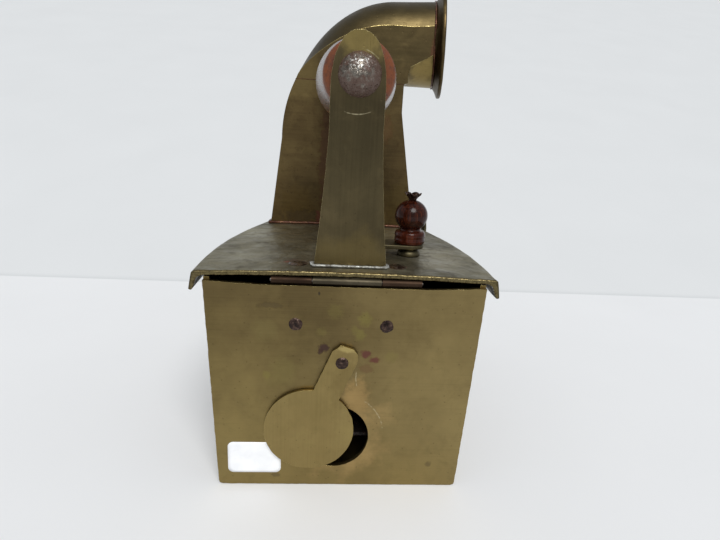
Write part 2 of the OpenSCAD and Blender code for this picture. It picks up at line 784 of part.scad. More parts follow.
// Turned knob: a ring with rounded edges, a neck and a globe
module latch_knob() {
    ring_r = 5.75;
    globe_r = globe_d / 2;
    neck_r = 3.6;
    color(copper) from_rear() translate([knob_x, knob_y, ring_z]) difference() {
        rotate_extrude() polygon(concat(
            [[0, 0], [ring_r - 0.5, 0], [ring_r - 0.2, 0.3], [ring_r, 4.2], [ring_r - 0.6, 5]],
            [[neck_r + 0.4, ring_h]],
            [for (i = [0:16]) let (a = mix(-52, 76, i / 16))
                [globe_r * cos(a), ring_h + globe_h / 2 - 0.6 + globe_h / 2 * sin(a)]],
            [[0, ring_h + globe_h - 0.75]]));
        translate([0, 0, -over]) cylinder(r = spindle_r, h = spindle_up + over);
    }
}

// Crown of pointed petals on top of the globe
module latch_crown() {
    petals = 6;
    foot = globe_h - 0.75;
    color(copper) from_rear() translate([knob_x, knob_y, ring_z + ring_h + foot]) difference() {
        cylinder(r1 = 1.35, r2 = 3.3, h = crown_h);
        translate([0, 0, 0.9]) cylinder(r1 = 0.5, r2 = 2.9, h = crown_h);
        for (i = [0:petals - 1])
            rotate([0, 0, i * 360 / petals]) translate([0, 0, 1.1]) rotate([90, 0, 90])
                linear_extrude(6) polygon([[0, 0], [1.5, crown_h], [-1.5, crown_h]]);
    }
}

module latch_spindle() {
    low = hook_z - 3.2;
    color(steel) from_rear() translate([knob_x, knob_y, low])
        cylinder(r = spindle_r, h = ring_z + spindle_up - low);
}

// Hook below the lid, which turns under the keeper on the side wall
module latch_hook() {
    color(steel) from_rear() translate([knob_x, knob_y, hook_z]) difference() {
        linear_extrude(hook_t) {
            circle(r = 4);
            polygon([[-4, 0], [4, 0], [2.5, hook_len - 2.5], [-2.5, hook_len - 2.5]]);
            translate([0, hook_len - 2.5]) circle(r = 2.5);
        }
        translate([0, 0, -over]) cylinder(r = spindle_r, h = hook_t + 2 * over);
    }
}

module latch_nut() {
    nut_h = 2.4;
    color(steel) from_rear() translate([knob_x, knob_y, hook_z - nut_h]) difference() {
        cylinder(r = 3.2, h = nut_h, $fn = 6);
        translate([0, 0, -over]) cylinder(r = spindle_r, h = 5);
    }
}

// Angle on the inside of the wall: its ledge holds the hook down
module latch_keeper() {
    leg = 16;
    high = keeper_z + keeper_t;
    low = high - leg;
    arc_x = side_radius - plate_half_top;
    color(old_brass) from_rear() difference() {
        intersection() {
            side_cone(-arc_x, low, high, wall_t + seat);
            union() {
                translate([36, knob_y - keeper_w / 2, keeper_z])
                    cube([20, keeper_w, keeper_t]);
                difference() {
                    translate([36, knob_y - keeper_w / 2, low]) cube([20, keeper_w, leg]);
                    side_cone(-arc_x, low - over, high, wall_t + seat + keeper_t);
                }
            }
        }
        keeper_rivet_shapes();
    }
}

module keeper_rivet_shapes() {
    for (y = [-3.5, 3.5]) {
        z = 65;
        x = half_at(z) - side_drop(knob_y + y);
        grip = wall_t + keeper_t;
        translate([x + 0.3, knob_y + y, z]) rotate([0, 90, 0]) rivet_head(2, rivet_head_h);
        rod_x(x - grip - 0.3, knob_y + y, z, rivet_r, grip + 0.6);
        translate([x - grip - 0.3, knob_y + y, z]) rotate([0, -90, 0])
            rivet_head(2, rivet_head_h);
    }
}

module keeper_rivets() {
    color(copper) from_rear() keeper_rivet_shapes();
}

sole_plate();
body_wall();
rear_plate();
fire_grate();
grate_bars();
hinge_body_leaf();
hinge_pin();
hinge_body_rivets();
damper_rivet();
latch_keeper();
keeper_rivets();
side_tab();
side_tab_rivet();
blank_label();
damper_cover();
lid_plate();
hinge_lid_leaf();
hinge_lid_rivets();
handle_post();
post_solder();
handle_grip();
handle_bolt();
handle_washer();
handle_nut();
chimney_stack();
chimney_elbow();
chimney_rim();
chimney_solder();
latch_bush();
latch_knob();
latch_crown();
latch_lever();
latch_spindle();
latch_hook();
latch_nut();
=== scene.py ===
import json
import math

import bmesh
import bpy
from mathutils import Matrix, Vector, noise

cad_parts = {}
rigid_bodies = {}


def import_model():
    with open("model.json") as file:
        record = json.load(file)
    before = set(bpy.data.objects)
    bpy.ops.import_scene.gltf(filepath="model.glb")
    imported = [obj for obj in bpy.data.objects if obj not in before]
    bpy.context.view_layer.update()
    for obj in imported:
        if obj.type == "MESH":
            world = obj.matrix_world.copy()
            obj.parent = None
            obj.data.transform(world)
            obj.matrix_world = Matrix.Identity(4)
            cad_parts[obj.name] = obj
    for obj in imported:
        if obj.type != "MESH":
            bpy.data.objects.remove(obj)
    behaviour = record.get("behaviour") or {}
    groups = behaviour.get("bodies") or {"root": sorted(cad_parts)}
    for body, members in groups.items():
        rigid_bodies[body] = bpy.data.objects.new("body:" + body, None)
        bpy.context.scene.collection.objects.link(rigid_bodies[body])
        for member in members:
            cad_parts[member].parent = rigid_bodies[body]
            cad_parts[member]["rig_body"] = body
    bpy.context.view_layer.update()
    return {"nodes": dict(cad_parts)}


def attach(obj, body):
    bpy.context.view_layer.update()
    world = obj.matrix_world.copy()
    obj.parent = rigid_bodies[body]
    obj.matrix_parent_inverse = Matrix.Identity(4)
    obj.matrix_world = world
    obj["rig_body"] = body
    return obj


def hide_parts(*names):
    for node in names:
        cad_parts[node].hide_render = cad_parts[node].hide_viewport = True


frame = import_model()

MM = 0.001

# Body: straight stretch of the sides, radius of the side arcs, half widths of the rear plate
STRAIGHT, SIDE_R, HALF_TOP, HALF_BOTTOM, PLATE_H = 12, 200, 47.1, 43.8, 78.5
MIDDLE = (STRAIGHT + math.sqrt(SIDE_R ** 2 - (SIDE_R - HALF_TOP) ** 2)) / 2
# Lid: half width, height at its sides, rise to its middle, thickness, depth and lean of its lips
LID_HALF, LID_Z, LID_CROWN, LID_T, LIP_DEPTH, LIP_FLARE = 50.9, 81.45, 1, 1.7, 6.5, 1.0
ARCH_R = (LID_HALF ** 2 + LID_CROWN ** 2) / (2 * LID_CROWN)
# Handle: distance of the post, its thickness, and the axis of the grip
POST_Y, POST_T, GRIP_X, GRIP_Z = 8, 3, 1.3, 144.2
# Chimney: flat face, seam, sheet, mouth, the bend's ellipse, and the fan point of its sections
FLUE_Y, SEAM_Z, FLUE_T, MOUTH_R, STACK_DEPTH = 81, 147.4, 1.1, 18.6, 39
FAN_X, STUB_X, MOUTH_TURN, MOUTH_LIFT = 27, 39.5, 8, 2
BEND_X, BEND_Z, BEND_A = 21.8, 121.6, 50.6
BEND_B = SEAM_Z + 2 * MOUTH_R - BEND_Z - 0.7
# Straight line along the top of the elbow: height over the fan point, slope, and where it starts
TOP_RISE, TOP_SLOPE, TOP_START = 36.885, 0.0604, 7.7
KNOB_X, KNOB_Y = 24, 28
# Steps across the flat face of one section of the chimney
FLAT_STEPS = 14


def at(x, y, z):
    """The place of a point in the frame, in metres."""
    return Vector((x * MM, (y - MIDDLE) * MM, z * MM))


def mix(a, b, t):
    """The value a share t of the way from a to b."""
    return a + (b - a) * t


def lid_top(x):
    """Height of the lid's outside, which is a flat arch."""
    return LID_Z + LID_CROWN - ARCH_R + math.sqrt(ARCH_R ** 2 - x * x)


def side_drop(y):
    """How far a side has come in at a distance from the rear plate."""
    return SIDE_R - math.sqrt(SIDE_R ** 2 - max(0, y - STRAIGHT) ** 2)


def wobble(point, size, seed=0):
    """Smooth noise from about -1 to 1, with bumps of that size."""
    return noise.noise(Vector(point) / size + Vector((seed * 3.1, seed * 1.7, -seed * 2.3)))


# ---------------------------------------------------------------------------------- materials

def rgb(code):
    """A #rrggbb colour as linear RGBA."""
    parts = [int(code[i:i + 2], 16) / 255 for i in (1, 3, 5)]
    return tuple(c / 12.92 if c <= 0.04045 else ((c + 0.055) / 1.055) ** 2.4
                 for c in parts) + (1.0,)


class Finish:
    """One node material, built up in layers. Sizes are in millimetres on the object."""

    def __init__(self, name, metallic=0.0, **fixed):
        self.material = bpy.data.materials.new(name)
        self.material.use_nodes = True
        self.tree = self.material.node_tree
        self.shader = self.tree.nodes["Principled BSDF"]
        self.shader.inputs["Metallic"].default_value = metallic
        for socket, value in fixed.items():
            self.shader.inputs[socket.replace("_", " ")].default_value = value
        self.place = self.tree.nodes.new("ShaderNodeTexCoord").outputs["Object"]

    def feed(self, socket, value):
        """Links a socket, or sets a number, a vector or a #rrggbb colour."""
        if isinstance(value, bpy.types.NodeSocket):
            self.tree.links.new(value, socket)
        elif value is not None:
            socket.default_value = rgb(value) if isinstance(value, str) else value

    def add(self, kind, inputs, out=0, **settings):
        """A new node with those inputs; returns one of its outputs."""
        node = self.tree.nodes.new("ShaderNode" + kind)
        for key, value in settings.items():
            setattr(node, key, value)
        for key, value in inputs.items():
            self.feed(node.inputs[key], value)
        return node.outputs[out]

    def grid(self, size, turn=(0, 0, 0)):
        """The object's own coordinates, counted in steps of that size."""
        sizes = size if isinstance(size, tuple) else (size,) * 3
        return self.add("Mapping", {"Vector": self.place, "Rotation": turn,
                                    "Scale": tuple(1 / (s * MM) for s in sizes)})

    def noise(self, size, detail=3, rough=0.5, warp=0, turn=(0, 0, 0)):
        return self.add("TexNoise", {"Vector": self.grid(size, turn), "Scale": 1.0, "Detail": detail,
                                     "Roughness": rough, "Distortion": warp})

    def cells(self, size):
        return self.add("TexVoronoi", {"Vector": self.grid(size), "Scale": 1.0})

    def level(self, value, low, high, top=1.0):
        """The value spread out so that low becomes 0 and high becomes top."""
        return self.add("MapRange", {"Value": value, "From Min": low, "From Max": high,
                                     "To Max": top})

    def sum(self, a, b, operation="ADD"):
        return self.add("Math", {0: a, 1: b}, operation=operation)

    def times(self, a, b):
        return self.sum(a, b, "MULTIPLY")

    def blend(self, amount, a, b):
        return self.add("Mix", {0: amount, 6: a, 7: b}, out=2, data_type="RGBA")

    def ramp(self, value, stops):
        """Colours by value; stops are (value, #rrggbb)."""
        node = self.tree.nodes.new("ShaderNodeValToRGB")
        band = node.color_ramp
        for i, (where, colour) in enumerate(stops):
            stop = band.elements[i] if i < 2 else band.elements.new(where)
            stop.position = where
            stop.color = rgb(colour)
        self.feed(node.inputs[0], value)
        return node.outputs[0]

    def spot(self, centre, radius, ragged=0.35, grain=2.2, soft=0.2):
        """A mask that is 1 inside a blotch with ragged edges; radius has one size for each axis."""
        away = self.add("VectorMath", {0: self.place, 1: at(*centre)}, operation="SUBTRACT")
        away = self.add("VectorMath", {0: away, 1: tuple(1 / (r * MM) for r in radius)},
                        operation="MULTIPLY")
        far = self.add("VectorMath", {0: away}, out=1, operation="LENGTH")
        rough_edge = self.level(self.noise(grain, 4, 0.6), 0.3, 0.7, 2 * ragged)
        return self.level(self.sum(far, rough_edge), 1.05 + soft, 1.05 - soft)

    def arc(self, centre, radius, width, window, reach):
        """A thin circle on an upright face, seen only inside a blotch round the window."""
        away = self.add("VectorMath", {0: self.place, 1: at(*centre)}, operation="SUBTRACT")
        away = self.add("VectorMath", {0: away, 1: (1 / MM, 0, 1 / MM)}, operation="MULTIPLY")
        far = self.add("VectorMath", {0: away}, out=1, operation="LENGTH")
        off = self.sum(self.sum(far, radius, "SUBTRACT"), 0.0, "ABSOLUTE")
        line = self.level(self.sum(off, self.level(self.noise(1.1, 3), 0.3, 0.7, width)),
                          1.6 * width, 0.6 * width)
        return self.times(line, self.spot(window, reach, 0.6, 1.5))

    def axis(self, index):
        return self.add("SeparateXYZ", {0: self.place}, out=index)

    def done(self, colour, roughness, bumps=(), metallic=None):
        """Sets the colour, the roughness and a chain of (height, depth in mm) bumps."""
        self.feed(self.shader.inputs["Base Color"], colour)
        self.feed(self.shader.inputs["Roughness"], roughness)
        if metallic is not None:
            self.feed(self.shader.inputs["Metallic"], metallic)
        normal = None
        for height, depth in bumps:
            normal = self.add("Bump", {"Height": height, "Strength": 1.0, "Distance": depth * MM,
                                       "Normal": normal})
        self.feed(self.shader.inputs["Normal"], normal)
        return self.material


def brass(name, dark, mid, light, brush=(30, 30, 0.35), gloss=(0.3, 0.5), tarnish=0.5,
          mottle="#3d2f1c", dull=0.0, stains_and_shade=(), scratch=0.35, dents=0.02, bloom=0.25, tones=(),
          arcs=()):
    """Aged brass: broad tone, brushing, brown mottling, yellow-green bloom, pits and scratches."""
    f = Finish(name, metallic=1.0)
    colour = f.ramp(f.noise(26, 4, 0.6, 0.3), [(0.3, dark), (0.52, mid), (0.74, light)])
    for centre, radius, tone, strength in tones:
        soft = 0.7 if radius[0] > 20 else 0.25
        mask = f.spot(centre, radius, 0.3, max(1.5, 0.5 * radius[0]), soft)
        colour = f.blend(f.times(mask, strength), colour, tone)
    streaks = f.noise(brush, 3, 0.65)
    colour = f.blend(f.level(streaks, 0.4, 0.75, 0.2), colour, light)
    colour = f.blend(f.level(streaks, 0.5, 0.25, 0.22), colour, dark)
    patches = f.noise(9, 5, 0.62, 0.8)
    colour = f.blend(f.level(patches, 0.56, 0.7, bloom), colour, light)
    brown = f.level(f.noise(5.5, 6, 0.7, 0.5), 0.52, 0.75, tarnish)
    colour = f.blend(brown, colour, mottle)
    pits = f.level(f.cells(2.6), 0.13, 0.03)
    colour = f.blend(f.times(pits, 0.5), colour, mottle)
    marks = None
    for turn in ((0, 0.5, 0), (0.2, -0.9, 0.3)):
        line = f.level(f.noise((0.16, 0.16, 16), 2, 0.5, 0.0, turn), 0.68, 0.76)
        marks = line if marks is None else f.sum(marks, line, "MAXIMUM")
    marks = f.times(marks, f.level(f.noise(14, 2), 0.45, 0.65))
    colour = f.blend(f.times(marks, scratch), colour, light)
    cover = None
    for centre, radius, stain_and_shade_colour, strength in stains_and_shade:
        mask = f.times(f.spot(centre, radius), strength)
        colour = f.blend(mask, colour, stain_and_shade_colour)
        cover = mask if cover is None else f.sum(cover, mask, "MAXIMUM")
    for arc in arcs:
        colour = f.blend(f.times(f.arc(*arc), 0.55), colour, "#cfc3a0")
    metallic = 1.0 - dull
    rough = f.sum(f.level(patches, 0.3, 0.7, gloss[1] - gloss[0]), gloss[0])
    rough = f.sum(rough, f.times(brown, 0.25))
    if cover is not None:
        metallic = f.sum(f.level(cover, 0.2, 1.1, -0.7), 1.0 - dull)
        rough = f.sum(rough, f.times(cover, 0.25))
    bumps = [(f.noise(11, 3, 0.5), dents * 12), (f.noise(2.4, 4, 0.6), dents), (streaks, 0.012),
             (pits, -0.05), (marks, -0.02)]
    return f.done(colour, rough, bumps, metallic)


def edge_brass(name, bright, dark, size=3.5, peak="#d8c891", depth=0.08):
    """Brass on an edge that hands and tools have rubbed; size is the grain of the rubbing. On the post's
    and the chimney's edges its brightness is also a painted highlight.
    """
    f = Finish(name, metallic=1.0)
    rubbing_and_highlight = f.noise(size, 5, 0.7)
    colour = f.ramp(rubbing_and_highlight, [(0.36, dark), (0.5, bright), (0.78, peak)])
    return f.done(colour, f.level(rubbing_and_highlight, 0.75, 0.25, 0.7), [(f.noise(1.2, 4, 0.7), depth)])


def copper(name, dark, light):
    """Hammered copper rivet, browned, with bare high spots."""
    f = Finish(name, metallic=0.75)
    hit = f.noise(1.3, 4, 0.65)
    colour = f.ramp(hit, [(0.35, dark), (0.55, light), (0.8, "#80695a")])
    return f.done(colour, f.level(hit, 0.3, 0.8, 0.6), [(hit, 0.12), (f.noise(0.4, 3), 0.03)])


def solder(name, stops, metallic, size=1.6):
    """Rough soft metal, coloured by its grain."""
    f = Finish(name, metallic=metallic)
    grain = f.noise(size, 5, 0.7, 0.6)
    return f.done(f.ramp(grain, stops), f.level(grain, 0.7, 0.3, 0.75),
                  [(grain, 0.14), (f.noise(0.5, 3), 0.05)])


def iron(name, dark, mid, light, metallic=0.6, size=2.6):
    """Old steel with rust and soot."""
    f = Finish(name, metallic=metallic)
    grain = f.noise(size, 6, 0.7, 0.4)
    colour = f.ramp(grain, [(0.36, dark), (0.52, mid), (0.72, light)])
    pits = f.level(f.cells(1.2), 0.3, 0.05)
    colour = f.blend(f.times(pits, 0.6), colour, dark)
    return f.done(colour, f.level(grain, 0.75, 0.3, 0.8),
                  [(grain, 0.1), (pits, -0.12), (f.noise(0.6, 3), 0.05)])


def bolt_steel():
    """Domed bolt head: grey steel with a rust-brown skirt, and white specks on the dome's upper part,
    partly corrosion and partly a painted highlight.
    """
    f = Finish("bolt_steel", metallic=0.8)
    grain = f.noise(1.5, 6, 0.72, 0.6)
    colour = f.ramp(grain, [(0.34, "#3b342f"), (0.5, "#6b655d"), (0.66, "#8d877e"), (0.8, "#bdbab2")])
    middle = f.spot((GRIP_X - 0.8, POST_Y - 3.5, GRIP_Z + 1.4), (8.4, 8, 7.6), 0.6, 2.4)
    rust = f.sum(1.0, middle, "SUBTRACT")
    rust = f.sum(rust, f.level(f.noise(3.4, 4, 0.6), 0.5, 0.62, 0.8), "MAXIMUM")
    colour = f.blend(f.times(rust, 0.8), colour, "#4a3024")
    # Pale specks gathered on the upper part of the dome: partly white corrosion, partly a painted
    # highlight where light falls.
    pale = f.times(f.level(f.noise(0.9, 4, 0.7), 0.52, 0.64),
                   f.spot((GRIP_X - 0.8, POST_Y - 3, GRIP_Z + 3.6), (6, 6, 3.4), 0.5, 1.4))
    colour = f.blend(pale, colour, "#dededa")
    pits = f.level(f.cells(1.3), 0.34, 0.08)
    return f.done(colour, f.level(grain, 0.8, 0.2, 0.6),
                  [(grain, 0.2), (pits, -0.14), (f.noise(0.45, 3), 0.07)],
                  f.level(rust, 1.3, 0.0, 0.8))


def grip_wood():
    """Varnished turned wood that has lost its varnish at the ends."""
    f = Finish("grip_wood", Coat_Weight=0.55, Coat_Roughness=0.2, Coat_IOR=1.45,
               Specular_IOR_Level=0.3)
    fibre = f.noise((0.7, 26, 0.7), 5, 0.6, 0.5)
    colour = f.ramp(fibre, [(0.3, "#28130b"), (0.5, "#472210"), (0.72, "#65351b")])
    along = f.axis(1)
    y0, y1 = [(y - MIDDLE) * MM for y in (POST_Y + POST_T, FLUE_Y)]
    bare = f.sum(f.level(along, y0 + 0.0055, y0 + 0.002), f.level(along, y1 - 0.0055, y1 - 0.002),
                 "MAXIMUM")
    bare = f.times(bare, f.level(f.noise(2.5, 4, 0.6), 0.25, 0.5))
    colour = f.blend(f.times(bare, 0.9), colour, "#703812")
    dirt = f.level(f.noise(4, 5, 0.7), 0.52, 0.7, 0.65)
    colour = f.blend(dirt, colour, "#2a150d")
    rough = f.sum(f.times(bare, 0.35), f.level(fibre, 0.3, 0.7, 0.2))
    return f.done(colour, f.sum(rough, 0.22), [(fibre, 0.06), (f.noise(5, 3), 0.1)])


def knob_wood():
    """Dark red-brown polished wood, with a lighter ring below the globe."""
    f = Finish("knob_wood", Coat_Weight=0.18, Coat_Roughness=0.12, Coat_IOR=1.5,
               Specular_IOR_Level=0.1)
    fibre = f.noise((1.1, 1.1, 7), 5, 0.62, 1.2)
    colour = f.ramp(fibre, [(0.3, "#130704"), (0.5, "#2c110a"), (0.72, "#4f2412")])
    height = f.axis(2)
    ring_top = 92.0 * MM
    ring = f.level(height, ring_top + 0.0006, ring_top - 0.0003)
    pale = f.ramp(f.noise((1.4, 1.4, 4), 4, 0.6),
                  [(0.3, "#200c06"), (0.55, "#3e180c"), (0.8, "#602c16")])
    colour = f.blend(f.times(ring, 0.85), colour, pale)
    dirt = f.level(f.noise(2.0, 5, 0.7), 0.55, 0.72, 0.5)
    colour = f.blend(dirt, colour, "#180a07")
    return f.done(colour, f.level(fibre, 0.2, 0.8, 0.4), [(fibre, 0.05), (f.noise(2.2, 3), 0.08)])


def label_paper():
    """Bright paper, a little soiled."""
    f = Finish("label_paper", Specular_IOR_Level=0.4)
    fibre = f.noise(0.5, 4, 0.6)
    colour = f.ramp(f.noise(6, 3), [(0.3, "#e8eaee"), (0.7, "#f6f7f9")])
    edge = f.level(f.noise(1.4, 4, 0.7), 0.6, 0.75, 0.12)
    return f.done(f.blend(edge, colour, "#b8b4aa"), f.level(fibre, 0.2, 0.8, 0.25),
                  [(fibre, 0.01)])


def pale_paint(name, low, high):
    """A plain pale matt surface."""
    f = Finish(name, Specular_IOR_Level=0.25)
    colour = f.ramp(f.noise(90, 3), [(0.3, low), (0.7, high)])
    return f.done(colour, 0.6, [(f.noise(1.2, 3), 0.02)])


def on_plate(marks):
    """Marks given by (x, z) on the rear plate, as marks in space."""
    return [((x, -0.2, z), (wide, 9, high), colour, strength)
            for (x, z), (wide, high), colour, strength in marks]


# Marks placed one by one. Stains and tones are (centre, radius on each axis, colour, strength);
# an arc is (centre, radius, width, centre of the blotch it shows in, radius of the blotch).
PLATE_STAINS = (
    ((-7.2, 55.6), (2.3, 2.2), "#38201c", 0.9),
    ((-8.0, 54.2), (1.3, 1.6), "#38201c", 0.8),
    ((7.4, 53.6), (2.2, 2.0), "#5a2a26", 0.85),
    ((10.4, 51.4), (2.4, 1.6), "#5c2c26", 0.85),
    ((7.8, 48.2), (3.2, 2.2), "#6a4532", 0.35),
    ((-9.1, 75.2), (0.5, 0.9), "#241c14", 0.8),
    ((-25, 70.5), (6, 1.4), "#4a3d26", 0.45),
    ((33, 9.5), (1.6, 1.5), "#4c3f2a", 0.5),
    ((-23, 4.2), (2.2, 1.2), "#4a3c28", 0.5),
)
PLATE_TONES = (
    ((-12, 58), (40, 24), "#625438", 0.45),
    ((40, 30), (38, 62), "#9c8a5c", 0.8),
    ((-38, 22), (28, 38), "#998756", 0.75),
    ((0, 0), (70, 18), "#958353", 0.6),
    ((-0.4, 21.5), (19.4, 18.4), "#b09564", 0.75),
    ((5.2, 36), (5.4, 10), "#aa8d5c", 0.7),
    ((5.4, 60.5), (2.2, 2.6), "#8c8446", 0.36),
    ((6.6, 66.5), (2.8, 3.2), "#8c8446", 0.38),
    ((3.2, 62.5), (1.6, 1.8), "#8c8446", 0.25),
    ((-3.4, 69), (3.2, 3.4), "#857b46", 0.25),
    ((-8, 61.5), (2, 2), "#857b46", 0.25),
    ((-21, 46), (6, 7), "#857a4a", 0.35),
    ((-26.5, 45), (1.8, 1.8), "#8a8046", 0.4),
    ((16.5, 52.8), (2.8, 2.8), "#857b46", 0.3),
    ((-27, 62), (5, 5), "#80744a", 0.35),
)
plate_brass = brass("plate_brass", "#5f5135", "#6c5d3d", "#7b6b46", (30, 30, 0.4), (0.34, 0.5),
                    0.18, "#4f4229", stains_and_shade=on_plate(PLATE_STAINS), tones=on_plate(PLATE_TONES),
                    arcs=(((-1.2, 0, 21.5), 16.6, 0.28, (12, 0, 31), (7, 9, 10)),
                          ((19.5, 0, 45), 15, 0.2, (4.6, 0, 44), (4, 9, 6))))
cover_brass = brass("cover_brass", "#837248", "#8f7d51", "#9c8b59", (0.4, 20, 30), (0.3, 0.42),
                    0.16, "#5d4f30", bloom=0.16, tones=(
                        ((2.4, -1, 43), (8, 9, 12), "#76653f", 0.6),
                        ((1.2, -1, 56), (5, 9, 1.6), "#c2ae72", 0.6)))
side_brass = brass("side_brass", "#5f5236", "#74643f", "#86754b", (34, 34, 0.5), (0.34, 0.52), 0.3)
sole_brass = brass("sole_brass", "#786841", "#958350", "#ad9a62", (0.5, 40, 40), (0.24, 0.4), 0.2,
                   scratch=0.6)
LID_STAINS_AND_SHADE = (
    ((-17.5, 12, 82), (6, 5, 6), "#4a3026", 0.6),
    ((17.0, 10.5, 82), (5, 4.5, 6), "#5c3226", 0.7),
    ((-21, 12, 82), (1.6, 1.6, 6), "#7a3c2a", 0.6),
    ((1, 13, 82), (18, 4, 5), "#5c4f3c", 0.5),
    # The dark patch round the knob's base, at (24, 30), is painted shade.
    ((24, 30, 82), (10, 10, 5), "#35302a", 0.5),
    ((0, 84, 82), (40, 7, 5), "#3c2d1f", 0.6),
)
lid_brass = brass("lid_brass", "#5a5340", "#857f69", "#a39d86", (26, 1.6, 26), (0.38, 0.58), 0.6,
                  "#38312a", 0.1, LID_STAINS_AND_SHADE, 0.3, 0.13, tones=(
                      ((0, 16, 82), (22, 14, 5), "#574c38", 0.6),
                      ((33, 24, 82), (12, 20, 5), "#b0a994", 0.6),
                      ((-18, 60, 82), (16, 26, 5), "#5e5238", 0.5)))
post_brass = brass("post_brass", "#453d2c", "#524934", "#63583f", (0.6, 10, 34), (0.32, 0.46), 0.25,
                   "#3a3224", tones=(
                       ((1, 8, 120), (16, 9, 22), "#48412f", 0.6),
                       ((1, 8, 84), (20, 9, 12), "#6b5d3a", 0.6),
                       ((1, 8, 155), (12, 9, 8), "#8d7c4c", 0.8)),
                   arcs=(((GRIP_X - 0.6, 0, 144), 11.6, 0.16, (GRIP_X - 0.6, 8, 132.4), (8, 9, 2.4)),
                         ((GRIP_X - 1.2, 0, 142.4), 9.4, 0.16, (5.0, 8, 150.5), (5, 9, 2.6))))
FLUE_STAINS = (
    ((-19, 81, 86), (14, 20, 4), "#2e2016", 0.4),
    ((-9, 81, 112), (4.5, 20, 34), "#4a281a", 0.5),
    ((-12, 81, 86), (1.6, 20, 5), "#5c2a1c", 0.7),
    ((17, 81, 128), (5, 20, 9), "#5a3c22", 0.4),
    ((36.5, 82, 158), (1.6, 20, 12), "#5a2c1e", 0.55),
)
FLUE_TONES = (
    ((20, 84, 164), (52, 60, 24), "#5c5036", 0.9),
    ((-24, 84, 150), (14, 60, 14), "#7d6c46", 0.7),
    ((-22, 81, 92), (10, 60, 10), "#5a4a2c", 0.6),
    ((26, 81, 96), (8, 60, 10), "#5e5030", 0.5),
)
flue_brass = brass("flue_brass", "#4d402b", "#605035", "#746442", (20, 20, 1.0), (0.3, 0.46), 0.4,
                   "#30231a", stains_and_shade=FLUE_STAINS, tones=FLUE_TONES)
# The lighter tone near (35, 88, 152) lies on the stub's downward facet and is a painted reflection of
# the table.
elbow_brass = brass("elbow_brass", "#433a26", "#52472f", "#64573a", (40, 1.0, 1.0), (0.34, 0.5),
                    0.25, "#483a24", bloom=0.15,
                    tones=(((35, 88, 152), (11, 40, 11), "#93804f", 0.9),))
rim_brass = brass("rim_brass", "#3a3020", "#50432c", "#6e6040", (1.2, 14, 14), (0.3, 0.46), 0.5,
                  "#2c2118")
dark_brass = brass("dark_brass", "#423c2d", "#5f5842", "#7d745a", (12, 12, 1), (0.4, 0.56), 0.5,
                   "#2b261c")
knuckle_brass = brass("knuckle_brass", "#2c211a", "#3e3026", "#57463a", (12, 12, 1), (0.45, 0.6),
                      0.5, "#241a14")
leaf_brass = brass("leaf_brass", "#38332a", "#4c4639", "#6a6251", (12, 12, 1), (0.45, 0.6), 0.4,
                   "#3d362a")
worn_edge = edge_brass("worn_edge", "#a8975f", "#5a4d30")
# post_edge: the post's rubbed edges, with their brightness raised as a painted highlight.
post_edge = edge_brass("post_edge", "#cdbf8c", "#85764c")
lid_edge = edge_brass("lid_edge", "#6a5f42", "#4c432e", 0.7, "#7d7150", 0.03)
# flue_edge: the bright line along the chimney's rounded creases and rims is a painted highlight over a
# rubbed grain.
flue_edge = edge_brass("flue_edge", "#8d7e52", "#5c4e32", 1.6)
rivet_copper = copper("rivet_copper", "#211816", "#40302a")
lid_copper = copper("lid_copper", "#33261e", "#53453a")
brown_braze = solder("brown_braze", [(0.3, "#2a1812"), (0.52, "#573322"), (0.75, "#86603f")], 0.5)
grey_solder = solder("grey_solder", [(0.3, "#4c463c"), (0.46, "#8f8f8a"), (0.66, "#d4d6d2")], 0.35, 1.3)
steel = iron("old_steel", "#2a2624", "#5c5652", "#8d8883", 0.9)
sooty_iron = iron("sooty_iron", "#0f0d0c", "#2a211d", "#4d382c", 0.3)
soot = iron("soot", "#090807", "#1b1613", "#33281f", 0.2, 6)
bolt_head = bolt_steel()
varnished_grip = grip_wood()
red_knob = knob_wood()


# --------------------------------------------------------------------------------- mesh tools

def settle(name, mesh, nodes, materials, stands=True):
    """Makes the mesh a piece on its first node's body; it stands for all the nodes."""
    for material in materials:
        mesh.materials.append(material)
    piece = bpy.data.objects.new(name, mesh)
    bpy.context.scene.collection.objects.link(piece)
    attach(piece, frame["nodes"][nodes[0]]["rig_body"])
    if stands:
        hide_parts(*nodes)
    return piece


def make(name, points, faces, nodes, materials, marks=None, stands=True):
    """A smooth piece from points in millimetres; marks gives each face's material."""
    mesh = bpy.data.meshes.new(name)
    mesh.from_pydata([at(*p) for p in points], [], faces)
    for i, face in enumerate(mesh.polygons):
        face.use_smooth = True
        face.material_index = marks[i] if marks else 0
    bm = bmesh.new()
    bm.from_mesh(mesh)
    bmesh.ops.recalc_face_normals(bm, faces=bm.faces[:])
    bm.to_mesh(mesh)
    bm.free()
    return settle(name, mesh, nodes, materials, stands)


def rounded(piece, width, limit="ANGLE"):
    """Rounds the piece's sharp edges, or by WEIGHT the marked ones, and keeps its flat faces flat."""
    bevel = piece.modifiers.new("edges", "BEVEL")
    bevel.width = width * MM
    bevel.segments = 3
    bevel.limit_method = limit
    bevel.angle_limit = math.radians(32)
    bevel.material = 1
    piece.modifiers.new("flat", "WEIGHTED_NORMAL").weight = 60
    return piece


